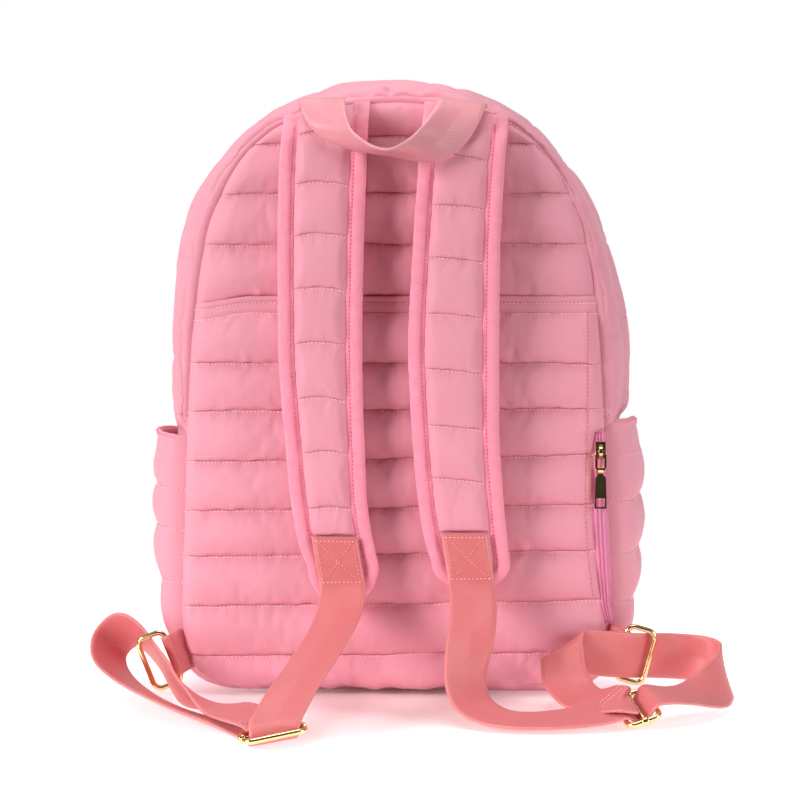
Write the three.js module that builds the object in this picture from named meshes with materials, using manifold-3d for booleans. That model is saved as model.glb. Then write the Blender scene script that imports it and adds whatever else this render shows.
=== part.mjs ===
// A quilted puffer backpack that stands on the floor with its strap side towards -Y.
// Millimetres, +Z up. The origin is on the floor, below the middle of the bag.
import * as THREE from 'three';
import Module from 'manifold-3d';
import { mergeVertices } from 'three/addons/utils/BufferGeometryUtils.js';

const wasm = await Module();
wasm.setup();

// Driving sizes
const GAP = 0.4;                 // clear space between two pieces
const CLOTH = 2.4;               // a plain wall or a stitched-down seam
const BACK_Y = -65;              // plane of the back seam
const FRONT_Y = 58;              // plane of the front seam
const FRONT_GROW = 6;            // the front outline is larger than the back one
const BASE_Z = 6;                // height of the two bottom seams
const TOP_Z = 408;               // top of the back seam
const WIDEST = 150.5;            // largest half width of the back seam
const LOW_CORNER_Z = 34;         // the bottom corners round off below this height
const HIGH_CORNER_Z = 386;       // the top arc begins above this height
const ZIP_END_Z = 197;           // the main zip comes down to here on both sides
const WEBBING_WIDTH = 32;
const WEBBING_THICK = 1.8;
const BINDING = 9.8;             // width that the edge binding takes from a pad
const WIRE = 3.8;                // wire of the rings and strap sliders
const RING_INNER = { long: 34, short: 16.5 };
const SLIDER_INNER = { long: 35, short: 18 };

// Half of the back seam, from the bottom centre round to the top centre
const OUTLINE = [
  [0, 6], [60, 6], [112, 6], [130, 10], [142, 19], [148, 34], [150.5, 60], [150, 95], [148.5, 126],
  [147.5, 162], [146, 198], [142.5, 255], [140, 278], [136.5, 303], [131, 329], [122.5, 351],
  [110, 373], [98.5, 386], [80, 399], [55, 405], [28, 407.5], [0, 408],
].map(([half, z]) => ({ half, z }));

// Heights of the quilting seams
const SLEEVE_SEAMS = [8, 30, 66, 101, 133.5, 168, 202, 234.5, 269.5];
const SLEEVE_TOP = 281;
const UPPER_SEAMS = [282, 317, 352, 386, 408];
const FRONT_SEAMS = [6, 30, 66, 101, 133.5, 168, 202, 234.5, 269.5, 303, 337, 372, 408];

// Materials
const shell = { color: 0xf0a0b0, roughness: 0.6, metalness: 0 };
const trim = { color: 0xfa8ca5, roughness: 0.7, metalness: 0 };
const webbing = { color: 0xe98c8c, roughness: 0.65, metalness: 0 };
const zipCloth = { color: 0xde7da5, roughness: 0.6, metalness: 0 };
const gold = { color: 0xe0b45c, roughness: 0.2, metalness: 1 };

const point = (x, y, z) => new THREE.Vector3(x, y, z);
const clamp = (value) => Math.min(1, Math.max(0, value));
const mix = (a, b, t) => a + (b - a) * t;
const steps = (count) => Array.from({ length: count + 1 }, (_, i) => i / count);

// A smooth curve through a table's rows that never overshoots them
function curve(xs, ys) {
  const last = xs.length - 1;
  const slope = [];
  for (let i = 0; i < last; i += 1) slope.push((ys[i + 1] - ys[i]) / (xs[i + 1] - xs[i]));
  const lean = [slope[0]];
  for (let i = 1; i < last; i += 1) {
    const turns = slope[i - 1] * slope[i] <= 0;
    lean.push(turns ? 0 : 2 / (1 / slope[i - 1] + 1 / slope[i]));
  }
  lean.push(slope[last - 1]);
  return (x) => {
    let i = 0;
    while (i < last - 1 && x > xs[i + 1]) i += 1;
    const span = xs[i + 1] - xs[i];
    const t = clamp((x - xs[i]) / span);
    const left = (1 + 2 * t) * (1 - t) ** 2 * ys[i] + t * (1 - t) ** 2 * span * lean[i];
    const right = t * t * (3 - 2 * t) * ys[i + 1] + t * t * (t - 1) * span * lean[i + 1];
    return left + right;
  };
}
const column = (rows, key, value) => curve(rows.map((row) => row[key]), rows.map((row) => row[value]));

// A triangle list with shared vertices, turned so that its faces point out
function solid(addFaces) {
  const places = [];
  const seen = new Map();
  const faces = [];
  const id = (p) => {
    const key = [p.x, p.y, p.z].map((v) => Math.round(v * 500)).join();
    if (!seen.has(key)) {
      seen.set(key, places.length);
      places.push(p);
    }
    return seen.get(key);
  };
  const triangle = (a, b, c) => {
    if (a !== b && b !== c && c !== a) faces.push([a, b, c]);
  };
  const quad = (a, b, c, d) => {
    const [i, j, k, l] = [id(a), id(b), id(c), id(d)];
    triangle(i, j, k);
    triangle(i, k, l);
  };
  const fan = (loop) => {
    for (let i = 1; i < loop.length - 1; i += 1) triangle(id(loop[0]), id(loop[i]), id(loop[i + 1]));
  };
  addFaces(quad, fan);
  let volume = 0;
  for (const [a, b, c] of faces) {
    volume += places[a].dot(places[b].clone().cross(places[c]));
  }
  const order = volume < 0 ? faces.map(([a, b, c]) => [a, c, b]) : faces;
  const geometry = new THREE.BufferGeometry();
  geometry.setAttribute('position', new THREE.Float32BufferAttribute(places.flatMap((p) => p.toArray()), 3));
  geometry.setIndex(order.flat());
  geometry.computeVertexNormals();
  return geometry;
}

// A closed wall between two grids of points that have the same rows and columns
function wall(outer, inner) {
  const rows = outer.length - 1;
  const cols = outer[0].length - 1;
  return solid((quad) => {
    for (let r = 0; r < rows; r += 1) {
      for (let c = 0; c < cols; c += 1) {
        quad(outer[r][c], outer[r][c + 1], outer[r + 1][c + 1], outer[r + 1][c]);
        quad(inner[r][c], inner[r + 1][c], inner[r + 1][c + 1], inner[r][c + 1]);
      }
      quad(outer[r][0], outer[r + 1][0], inner[r + 1][0], inner[r][0]);
      quad(outer[r + 1][cols], outer[r][cols], inner[r][cols], inner[r + 1][cols]);
    }
    for (let c = 0; c < cols; c += 1) {
      quad(outer[0][c + 1], outer[0][c], inner[0][c], inner[0][c + 1]);
      quad(outer[rows][c], outer[rows][c + 1], inner[rows][c + 1], inner[rows][c]);
    }
  });
}

// A rod swept through rings of points, closed at both ends
function rod(rings) {
  const sides = rings[0].length;
  return solid((quad, fan) => {
    for (let r = 0; r < rings.length - 1; r += 1) {
      for (let s = 0; s < sides; s += 1) {
        const next = (s + 1) % sides;
        quad(rings[r][s], rings[r][next], rings[r + 1][next], rings[r + 1][s]);
      }
    }
    fan([...rings[0]].reverse());
    fan(rings[rings.length - 1]);
  });
}

// Joins closed geometries into one solid
function join(geometries) {
  const solids = geometries.map((geometry) => {
    const bare = geometry.clone();
    bare.deleteAttribute('normal');
    bare.deleteAttribute('uv');
    const merged = mergeVertices(bare, 1e-4);
    const vertProperties = new Float32Array(merged.attributes.position.array);
    const triVerts = new Uint32Array(merged.index.array);
    return new wasm.Manifold(new wasm.Mesh({ numProp: 3, vertProperties, triVerts }));
  });
  const made = solids.reduce((whole, next) => whole.add(next)).getMesh();
  const geometry = new THREE.BufferGeometry();
  geometry.setAttribute('position', new THREE.BufferAttribute(made.vertProperties, 3));
  geometry.setIndex(new THREE.BufferAttribute(made.triVerts, 1));
  geometry.computeVertexNormals();
  return geometry;
}

const bag = new THREE.Group();
function add(name, geometry, look) {
  const mesh = new THREE.Mesh(geometry, new THREE.MeshStandardMaterial(look));
  mesh.name = name;
  bag.add(mesh);
}

// The back seam as a curve along its own length, from the bottom centre to the top centre
const lengths = [0];
OUTLINE.slice(1).forEach((row, i) => {
  lengths.push(lengths[i] + Math.hypot(row.half - OUTLINE[i].half, row.z - OUTLINE[i].z));
});
const HALF_LENGTH = lengths[lengths.length - 1];
const halfAlong = curve(lengths, OUTLINE.map((row) => row.half));
const heightAlong = curve(lengths, OUTLINE.map((row) => row.z));
const lengthAt = curve(OUTLINE.slice(2).map((row) => row.z), lengths.slice(2));
const halfAt = (z) => halfAlong(lengthAt(z));
const lowEdge = curve(OUTLINE.slice(0, 6).map((row) => row.half), OUTLINE.slice(0, 6).map((row) => row.z));
const highRows = OUTLINE.slice(17).reverse();
const highEdge = column(highRows, 'half', 'z');

// A place on the panel: s runs from -1 to 1 across, and rows follow the round corners
function panelPlace(s, z, halfRight = halfAt) {
  const level = Math.min(HIGH_CORNER_Z, Math.max(LOW_CORNER_Z, z));
  const x = s * (s > 0 ? halfRight(level) : halfAt(level));
  if (z < LOW_CORNER_Z) {
    const low = lowEdge(Math.abs(x));
    return { x, z: mix(low, LOW_CORNER_Z, (z - BASE_Z) / (LOW_CORNER_Z - BASE_Z)) };
  }
  if (z > HIGH_CORNER_Z) {
    const high = highEdge(Math.abs(x));
    return { x, z: mix(HIGH_CORNER_Z, high, (z - HIGH_CORNER_Z) / (TOP_Z - HIGH_CORNER_Z)) };
  }
  return { x, z };
}
const rise = (z) => Math.sin(Math.PI * clamp((z - BASE_Z) / (TOP_Z - BASE_Z))) ** 0.6;
const BACK_DOME = 8;
const FRONT_DOME = 15;
const backBase = (s, z) => BACK_Y - BACK_DOME * (1 - s * s) * rise(z);
const frontBase = (s, z) => FRONT_Y + FRONT_DOME * (1 - s * s) * rise(z);
const bulgeAcross = (s) => Math.sqrt(1 - Math.abs(s) ** 6);

// Rows of heights with the padding's share of its full puff, channel by channel
function quilt(seams, perChannel) {
  const rows = [{ z: seams[0], puff: 0 }];
  for (let i = 0; i < seams.length - 1; i += 1) {
    for (const t of steps(perChannel).slice(1)) {
      const puff = t === 1 ? 0 : Math.sin(Math.PI * t) ** 0.7;
      rows.push({ z: mix(seams[i], seams[i + 1], t), puff });
    }
  }
  return rows;
}
const ACROSS = [-1, -0.92, -0.7, -0.35, 0, 0.35, 0.7, 0.92, 1];

// Back panel: plain behind the sleeve, quilted above it
const UPPER_PUFF = 8;
const TOP_PUFF = 4;
const plainRows = [6, ...SLEEVE_SEAMS].map((z) => ({ z, puff: 0 }));
const backRows = [...plainRows, ...quilt(UPPER_SEAMS, 3)];
const backFace = (row, s) => {
  const full = row.z > HIGH_CORNER_Z ? TOP_PUFF : UPPER_PUFF;
  const place = panelPlace(s, row.z);
  return { place, y: backBase(s, row.z) - CLOTH - full * row.puff * bulgeAcross(s) };
};
add('back_panel', wall(
  backRows.map((row) => ACROSS.map((s) => {
    const { place, y } = backFace(row, s);
    return point(place.x, y, place.z);
  })),
  backRows.map((row) => ACROSS.map((s) => {
    const place = panelPlace(s, row.z);
    return point(place.x, backBase(s, row.z), place.z);
  })),
), shell);

// Side zip along the right edge of the sleeve: height, left edge and right edge of the tape
const SIDE_ZIP = [
  { z: 50, left: 148.5, right: 149.8 }, { z: 58, left: 146.6, right: 150 }, { z: 74, left: 143.6, right: 150 },
  { z: 100, left: 140.3, right: 149.3 }, { z: 133, left: 138.6, right: 147.8 }, { z: 160, left: 138.6, right: 147 },
  { z: 184, left: 139.6, right: 146 },
];
const zipLeft = column(SIDE_ZIP, 'z', 'left');
const zipRight = column(SIDE_ZIP, 'z', 'right');
const ZIP_LOW = SIDE_ZIP[0].z;
const ZIP_HIGH = SIDE_ZIP[SIDE_ZIP.length - 1].z;
const TAPE = 1.2;
const COIL = 2.8;
const tapeBase = (x, z) => backBase(x / halfAt(z), z) - CLOTH - GAP;
const zipRows = steps(9).map((t) => mix(ZIP_LOW, ZIP_HIGH, t));
const zipColumns = [
  { across: 0, thick: TAPE }, { across: 0.36, thick: TAPE }, { across: 0.42, thick: COIL },
  { across: 0.64, thick: COIL }, { across: 0.7, thick: TAPE }, { across: 1, thick: TAPE },
];
const zipGrid = (outside) => zipRows.map((z) => zipColumns.map(({ across, thick }) => {
  const x = mix(zipLeft(z), zipRight(z), across);
  return point(x, tapeBase(x, z) - (outside ? thick : 0), z);
}));
add('side_zip', wall(zipGrid(true), zipGrid(false)), zipCloth);

// Quilted sleeve over the lower back, open along its hem and cut back beside the zip
const SLEEVE_PUFF = 9;
const HEM = 3;
const sleeveRight = (z) => {
  const beside = z > ZIP_LOW && z < ZIP_HIGH + 14;
  return beside ? Math.min(halfAt(z), zipLeft(z) - 3 * GAP) : halfAt(z);
};
const sleeveRows = [...quilt(SLEEVE_SEAMS, 3), { z: SLEEVE_TOP - 4, puff: 0.06 }, { z: SLEEVE_TOP, puff: 0.06 }];
const sleeveBase = (s, z) => backBase(s, z) - CLOTH - GAP;
const sleeveGrid = (offset) => sleeveRows.map((row) => ACROSS.map((s) => {
  const place = panelPlace(s, row.z, sleeveRight);
  const level = Math.max(LOW_CORNER_Z, row.z);
  return point(place.x, sleeveBase(place.x / halfAt(level), row.z) - offset(row, s), place.z);
}));
add('back_sleeve', wall(
  sleeveGrid((row, s) => HEM + SLEEVE_PUFF * row.puff * bulgeAcross(s)),
  sleeveGrid(() => 0),
), shell);

// Front panel, quilted all over
const FRONT_PUFF = 10;
const growX = 1 + FRONT_GROW / WIDEST;
const growZ = 1 + FRONT_GROW / (TOP_Z - BASE_Z);
const toFront = ({ x, z }) => ({ x: x * growX, z: BASE_Z + (z - BASE_Z) * growZ });
const frontRows = quilt(FRONT_SEAMS, 3);
const FRONT_ACROSS = [-1, -0.88, -0.5, 0, 0.5, 0.88, 1];
const frontGrid = (offset) => frontRows.map((row) => FRONT_ACROSS.map((s) => {
  const place = toFront(panelPlace(s, row.z));
  return point(place.x, frontBase(s, row.z) + offset(row, s), place.z);
}));
add('front_panel', wall(
  frontGrid((row, s) => CLOTH + FRONT_PUFF * row.puff * bulgeAcross(s)),
  frontGrid(() => 0),
), shell);

// The gusset between the two seams: side, length along the seam, depth v from 0 to 1, bulge outwards
const SEAM_STEP = 1;
function gussetPlace(side, length, v, bulge) {
  const x = halfAlong(length);
  const z = heightAlong(length);
  const before = Math.max(0, length - SEAM_STEP);
  const after = Math.min(HALF_LENGTH, length + SEAM_STEP);
  const dx = halfAlong(after) - halfAlong(before);
  const dz = heightAlong(after) - heightAlong(before);
  const size = Math.hypot(dx, dz);
  const front = toFront({ x, z });
  const px = mix(x, front.x, v) + bulge * dz / size;
  const pz = mix(z, front.z, v) - bulge * dx / size;
  return point(side * px, mix(BACK_Y + GAP, FRONT_Y - GAP, v), pz);
}
const zipEndLength = lengthAt(ZIP_END_Z);
const archLengths = (count) => steps(count).map((t) => {
  const turn = 2 * t - 1;
  return { side: Math.sign(turn) || 1, length: mix(HALF_LENGTH, zipEndLength + GAP, Math.abs(turn)) };
});
const ARCH_BULGE = [
  { v: 0, bulge: 0 }, { v: 0.08, bulge: 10 }, { v: 0.2, bulge: 16 }, { v: 0.32, bulge: 16 },
  { v: 0.42, bulge: 13 }, { v: 0.54, bulge: 13 }, { v: 0.64, bulge: 21 }, { v: 0.76, bulge: 25 },
  { v: 0.88, bulge: 20 }, { v: 0.95, bulge: 12 }, { v: 1, bulge: 0 },
];
const archBulge = column(ARCH_BULGE, 'v', 'bulge');
const PUFF_END = 12;             // the puffed strips round off over this length at the zip's ends
const endRound = (length) => {
  const away = clamp((length - zipEndLength) / PUFF_END);
  return 0.6 + 0.4 * Math.sqrt(1 - (1 - away) ** 2);
};
// On the bag's round shoulders the strips stand out less, most of all on the right:
// distance along the seam from the middle of the top, and the share that is left on each side
const SHOULDERS = [
  { away: 0, left: 1, right: 1 }, { away: 40, left: 0.96, right: 0.9 }, { away: 60, left: 0.8, right: 0.65 },
  { away: 80, left: 0.64, right: 0.42 }, { away: 100, left: 0.66, right: 0.3 }, { away: 120, left: 0.68, right: 0.23 },
  { away: 140, left: 0.82, right: 0.32 }, { away: 160, left: 0.92, right: 0.42 }, { away: 180, left: 0.96, right: 0.52 },
  { away: 200, left: 1, right: 0.64 }, { away: 220, left: 1, right: 0.79 }, { away: 240, left: 1, right: 0.92 },
  { away: 260, left: 1, right: 1 }, { away: 400, left: 1, right: 1 },
];
const leftShoulder = column(SHOULDERS, 'away', 'left');
const rightShoulder = column(SHOULDERS, 'away', 'right');
const shoulder = (side, length) => (side > 0 ? rightShoulder : leftShoulder)(HALF_LENGTH - length);
function archStrip(depths, thick, count) {
  const stations = archLengths(count);
  const grid = (inset) => stations.map(({ side, length }) => depths.map((v) => {
    return gussetPlace(side, length, v, archBulge(v) * endRound(length) * shoulder(side, length) - inset);
  }));
  return wall(grid(0), grid(thick));
}
const ARCH_STEPS = 28;
add('gusset_top_back', archStrip([0, 0.06, 0.14, 0.26, 0.42], CLOTH, ARCH_STEPS), shell);
add('gusset_top_front', archStrip([0.54, 0.64, 0.76, 0.88, 0.95, 1], CLOTH, ARCH_STEPS), shell);
add('main_zip', archStrip([0.424, 0.48, 0.536], TAPE, ARCH_STEPS), zipCloth);

// Lower gusset: both sides and the flat bottom that the bag stands on
const SIDE_BULGE = 8;
const flatLength = lengths[2];
const cornerEnd = lengthAt(60);
const lowerBulge = (length, v) => {
  const full = mix(BASE_Z, SIDE_BULGE, clamp((length - flatLength) / (cornerEnd - flatLength)));
  return full * Math.min(1, Math.min(v, 1 - v) / 0.12);
};
const lowerTurns = steps(26).map((t) => 2 * t - 1);
const LOWER_DEPTHS = [0, 0.12, 0.35, 0.65, 0.88, 1];
const lowerGrid = (inset) => lowerTurns.map((turn) => LOWER_DEPTHS.map((v) => {
  const length = Math.abs(turn) * zipEndLength;
  return gussetPlace(Math.sign(turn) || 1, length, v, lowerBulge(length, v) - inset);
}));
add('gusset_lower', wall(lowerGrid(0), lowerGrid(CLOTH)), shell);

// Side pockets: quilted walls that stand off the lower gusset and are open at the rim
const POCKET_DEPTHS = { from: 0.05, to: 0.95 };
const POCKET_PUFF = 3.4;
const POCKET_STAND = [
  { z: 20, stand: 0.5 }, { z: 30, stand: 4 }, { z: 54, stand: 7 }, { z: 80, stand: 10 },
  { z: 117, stand: 14.5 }, { z: 166, stand: 16.5 }, { z: 190, stand: 16 },
];
const pocketStand = column(POCKET_STAND, 'z', 'stand');
const POCKETS = [
  { name: 'left', side: -1, seams: [20, 40, 79, 116, 146, 180] },
  { name: 'right', side: 1, seams: [20, 32, 66, 100, 137, 172, 187] },
];
const pocketAcross = [0, 0.08, 0.25, 0.5, 0.75, 0.92, 1];
function pocketPoint(side, z, a, out) {
  const v = mix(POCKET_DEPTHS.from, POCKET_DEPTHS.to, a);
  const length = lengthAt(z);
  const swell = Math.sin(Math.PI * a) ** 0.55;
  return gussetPlace(side, length, v, lowerBulge(length, v) + GAP + pocketStand(z) * swell + out);
}
const POCKET_BINDING = 7;
const BINDING_THICK = 3.6;
for (const { name, side, seams } of POCKETS) {
  const rows = quilt(seams, 3);
  add(`pocket_${name}`, wall(
    rows.map((row) => pocketAcross.map((a) => {
      return pocketPoint(side, row.z, a, CLOTH + POCKET_PUFF * row.puff * Math.sin(Math.PI * a) ** 0.5);
    })),
    rows.map((row) => pocketAcross.map((a) => pocketPoint(side, row.z, a, 0))),
  ), shell);
  const rim = seams[seams.length - 1] + GAP;
  const rimRows = [rim, rim + POCKET_BINDING / 2, rim + POCKET_BINDING];
  add(`pocket_binding_${name}`, wall(
    rimRows.map((z, i) => pocketAcross.map((a) => pocketPoint(side, z, a, BINDING_THICK - (i === 1 ? 0 : 1)))),
    rimRows.map((z, i) => pocketAcross.map((a) => pocketPoint(side, z, a, i === 1 ? 0 : 0.4))),
  ), trim);
}

// Shoulder pads: height, outer and inner edge, and depth, from the round lower end to the top seam
const PADS = [
  {
    name: 'left',
    endDepth: 27,
    patchTop: 117,
    seams: [135, 173, 210, 248, 285, 322, 357, 391, 408],
    rows: [
      [95, -58.7, -9.8, -98], [114, -65.7, -14, -98.5], [142, -70.5, -18, -99], [181, -74, -19.5, -100],
      [210, -76.5, -20.5, -100], [246, -78.5, -21, -100], [316, -79, -20, -98], [357, -78.5, -18.7, -95],
      [385, -77.5, -17.7, -89.5], [396, -77, -17.3, -84], [403, -77, -17, -77.5], [408, -77, -17, -72],
    ],
  },
  {
    name: 'right',
    endDepth: 17.5,
    patchTop: 120,
    seams: [155, 191, 230, 268, 306, 342, 374, 408],
    rows: [
      [97, 27.2, 80.7, -98], [120, 20.7, 78, -98.5], [154, 16, 75, -99], [188, 13.3, 73, -100],
      [210, 12, 72.8, -100], [245, 10.7, 72.8, -100], [312, 13.7, 73.3, -98], [330, 14.7, 74, -97],
      [374, 18, 76.5, -92], [390, 19.5, 78, -87], [403, 20.7, 78.5, -77.5], [408, 20.8, 78.5, -72],
    ],
  },
].map((pad) => ({ ...pad, rows: pad.rows.map(([z, low, high, y]) => ({ z, low, high, y })) }));
const PAD_EDGE = 2.4;            // half thickness beside the binding
const PAD_MIDDLE = 6.2;          // half thickness in the middle of a quilted channel
const PAD_PATCH = 4.2;           // half thickness under the sewn webbing
const padAcross = steps(6).map((t) => 2 * t - 1);
const BINDING_SIDES = 6;
const BINDING_HALF = { across: 4.3, through: 3.3 };
for (const pad of PADS) {
  const low = column(pad.rows, 'z', 'low');
  const high = column(pad.rows, 'z', 'high');
  const depth = column(pad.rows, 'z', 'y');
  const endZ = pad.rows[0].z;
  const topZ = pad.rows[pad.rows.length - 1].z;
  const middle = (z) => (low(z) + high(z)) / 2;
  const half = (z, inset) => (high(z) - low(z)) / 2 - inset;
  const crown = (s) => 1 - s ** 4;
  const endRows = steps(3).map((t) => ({ z: endZ, tip: 1 - t, full: PAD_PATCH, fade: 1 - (1 - t) ** 4 }));
  const patchRows = [mix(endZ, pad.patchTop, 0.5), pad.patchTop].map((z) => ({ z, tip: 0, full: PAD_PATCH, fade: 1 }));
  const channelRows = quilt([pad.patchTop, ...pad.seams], 3).slice(1).map(({ z, puff }) => {
    return { z, tip: 0, full: mix(PAD_PATCH, PAD_MIDDLE, puff), fade: 1 };
  });
  const rows = [...endRows, ...patchRows, ...channelRows];
  const grid = (face) => rows.map(({ z, tip, full, fade }) => padAcross.map((s) => {
    const thick = PAD_EDGE + (full - PAD_EDGE) * crown(s) * fade;
    const drop = tip * (pad.endDepth - BINDING) * Math.sqrt(1 - s * s);
    return point(middle(z) + s * half(z, BINDING), depth(z) + face * thick, z - drop);
  }));
  add(`shoulder_pad_${pad.name}`, wall(grid(-1), grid(1)), shell);

  const inset = BINDING / 2;
  const heights = steps(13).map((t) => mix(topZ, endZ, t ** 0.8));
  const path = [
    ...heights.map((z) => point(low(z) + inset, depth(z), z)),
    ...steps(8).slice(1, 8).map((t) => {
      const angle = Math.PI * (1 + t);
      const x = middle(endZ) + half(endZ, inset) * Math.cos(angle);
      return point(x, depth(endZ), endZ + (pad.endDepth - inset) * Math.sin(angle));
    }),
    ...[...heights].reverse().map((z) => point(high(z) - inset, depth(z), z)),
  ];
  const rings = path.map((centre, i) => {
    const along = path[Math.min(i + 1, path.length - 1)].clone().sub(path[Math.max(i - 1, 0)]);
    const outward = point(along.z, 0, -along.x).normalize();
    return steps(BINDING_SIDES).slice(0, BINDING_SIDES).map((t) => {
      const angle = 2 * Math.PI * t;
      const across = outward.clone().multiplyScalar(BINDING_HALF.across * Math.cos(angle));
      return centre.clone().add(across).add(point(0, BINDING_HALF.through * Math.sin(angle), 0));
    });
  });
  add(`pad_binding_${pad.name}`, rod(rings), trim);
}

// Webbing as a flat band through stations: place of its middle and direction of its width
function band(stations, width, thick, count) {
  const middles = new THREE.CatmullRomCurve3(stations.map(({ at }) => point(...at)), false, 'centripetal');
  const sideways = new THREE.CatmullRomCurve3(stations.map(({ wide }) => point(...wide)), false, 'centripetal');
  const faces = { top: [], bottom: [] };
  for (const t of steps(count)) {
    const centre = middles.getPoint(t);
    const tangent = middles.getTangent(t);
    const across = sideways.getPoint(t);
    across.addScaledVector(tangent, -across.dot(tangent)).normalize();
    const normal = tangent.clone().cross(across);
    const corner = (side, face) => centre.clone()
      .addScaledVector(across, side * width / 2)
      .addScaledVector(normal, face * thick / 2);
    faces.top.push([corner(-1, 1), corner(1, 1)]);
    faces.bottom.push([corner(-1, -1), corner(1, -1)]);
  }
  return wall(faces.top, faces.bottom);
}
const station = ([x, y, z, wx, wy, wz]) => ({ at: [x, y, z], wide: [wx, wy, wz] });

// Carry handle: sewn into the top seam at both ends, turning edge-on where it hangs
const HANDLE = [
  [-51, -71.5, 410.5, 1, 0, 0], [-50, -75, 417, 1, 0.05, 0], [-47, -82, 419, 0.97, 0.15, 0.05],
  [-41, -92, 413, 0.85, 0.45, 0.2], [-30, -98, 401, 0.55, 0.75, 0.3], [-15, -101, 389, 0.2, 0.95, 0.2],
  [0, -102, 384, 0, 1, 0.1], [15, -101, 388, -0.25, 0.95, 0.15], [30, -101, 400, -0.55, 0.75, 0.3],
  [40, -92, 411, -0.85, 0.45, 0.2], [46, -82, 417, -0.97, 0.15, 0.05], [48, -75, 415, -1, 0.05, 0],
  [48.2, -71.5, 411, -1, 0, 0],
].map(station);
add('handle', band(HANDLE, WEBBING_WIDTH, WEBBING_THICK, 30), webbing);

// Strap webbing: from the pad to its slider, out round the ring and back to the sewn end
const WEBBING_LEFT = [
  [-40, -104.6, 116, 0.99, 0, 0.13], [-37, -104.8, 97, 0.99, 0, 0.12], [-34, -106, 80, 0.99, -0.03, 0.08],
  [-36, -130, 64, 0.99, -0.08, 0.1], [-47, -176, 46, 0.99, -0.02, 0.11], [-58, -217, 32, 0.99, 0.08, 0.1],
  [-64, -240, 22, 0.96, 0.25, 0.12], [-67, -255.5, 15, 0.93, 0.34, 0.14], [-66.6, -256.9, 9.5, 0.93, 0.34, 0.14],
  [-67.6, -251.5, 4.6, 0.93, 0.34, 0.12], [-72.6, -238, 4.8, 0.93, 0.34, 0.1], [-85, -222, 5.5, 0.86, 0.5, 0.03],
  [-103, -207, 7, 0.76, 0.62, -0.12], [-125, -187, 8, 0.74, 0.6, -0.28], [-147, -161, 9.5, 0.76, 0.53, -0.38],
  [-169, -126, 10.5, 0.8, 0.45, -0.4], [-190, -80, 11, 0.86, 0.3, -0.4], [-203, -48, 13, 0.85, 0.33, -0.4],
  [-210, -28, 18, 0.78, 0.4, -0.48], [-211, -18, 25, 0.7, 0.4, -0.6], [-206, -15, 32, 0.62, 0.35, -0.7],
  [-198, -19, 37, 0.5, 0.25, -0.83], [-188, -30, 35.5, 0.4, 0.2, -0.9], [-175, -52, 29.5, 0.37, 0.1, -0.92],
  [-165, -79, 25, 0.37, 0, -0.93], [-156, -104, 21, 0.2, 0.3, -0.9], [-141, -146, 18, -0.1, 0.8, -0.6],
  [-122, -173, 16, -0.05, 0.95, -0.3], [-107, -193, 14.5, 0.1, 0.97, 0.15], [-92, -214, 15, 0.45, 0.88, 0.15],
  [-75, -238, 15, 0.93, 0.34, 0.14], [-70, -250.3, 14, 0.93, 0.34, 0.14],
].map(station);
const WEBBING_RIGHT = [
  [53, -104.6, 119, 1, 0, 0], [53.5, -104.8, 103, 1, 0, 0], [54, -106, 84, 0.99, 0.1, 0],
  [56, -117, 70, 0.98, 0.18, 0.05], [54.5, -133, 53, 0.96, 0.25, 0.06], [51.5, -146, 38, 0.88, 0.46, 0.08],
  [51, -159, 24, 0.74, 0.65, 0.15], [56, -170, 13.5, 0.64, 0.75, 0.15], [67, -180, 8, 0.54, 0.83, 0.13],
  [82, -187, 6.5, 0.4, 0.9, 0.12], [102, -190, 7, 0.22, 0.96, 0.15], [125, -187, 8.5, 0.05, 0.97, 0.22],
  [142, -181, 10.5, -0.12, 0.96, 0.24], [152.6, -175, 12.6, -0.25, 0.93, 0.27], [158.8, -172.2, 10.4, -0.25, 0.93, 0.27],
  [164.4, -169.7, 8.3, -0.25, 0.93, 0.27], [168.2, -169.8, 13.7, -0.25, 0.93, 0.27],
  [172.1, -169.7, 19.6, -0.25, 0.93, 0.27], [178, -167, 20.5, -0.28, 0.93, 0.22], [190, -158, 18, -0.4, 0.9, 0.1],
  [202, -145, 16, -0.45, 0.87, 0], [213, -130, 16, -0.4, 0.85, 0.2], [222, -114, 18, -0.3, 0.75, 0.55],
  [229, -94, 21, -0.22, 0.55, 0.8], [228, -78, 25, -0.1, 0.4, 0.9], [219, -69, 27, 0.05, 0.3, 0.94],
  [205, -66, 28, 0.15, 0.2, 0.95], [186, -69.5, 29.5, 0.22, 0.1, 0.96], [168, -79.5, 31, 0.27, 0, 0.96],
  [152, -90.5, 31.5, 0.2, 0.1, 0.95], [135, -99, 32, 0.12, 0.45, 0.87], [117, -107, 31, 0.08, 0.75, 0.65],
  [106, -119, 30, 0.15, 0.85, 0.5], [110, -135, 29, 0.35, 0.65, 0.65], [121, -149, 28, 0.42, 0.65, 0.6],
  [133, -160, 23, 0.25, 0.9, 0.35], [144, -168, 19.5, 0, 0.97, 0.25], [153.5, -175.6, 17.5, -0.25, 0.93, 0.27],
  [160.6, -173.2, 15.8, -0.25, 0.93, 0.27],
].map(station);
add('webbing_left', band(WEBBING_LEFT, WEBBING_WIDTH, WEBBING_THICK, 60), webbing);
add('webbing_right', band(WEBBING_RIGHT, WEBBING_WIDTH, WEBBING_THICK, 74), webbing);

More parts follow.
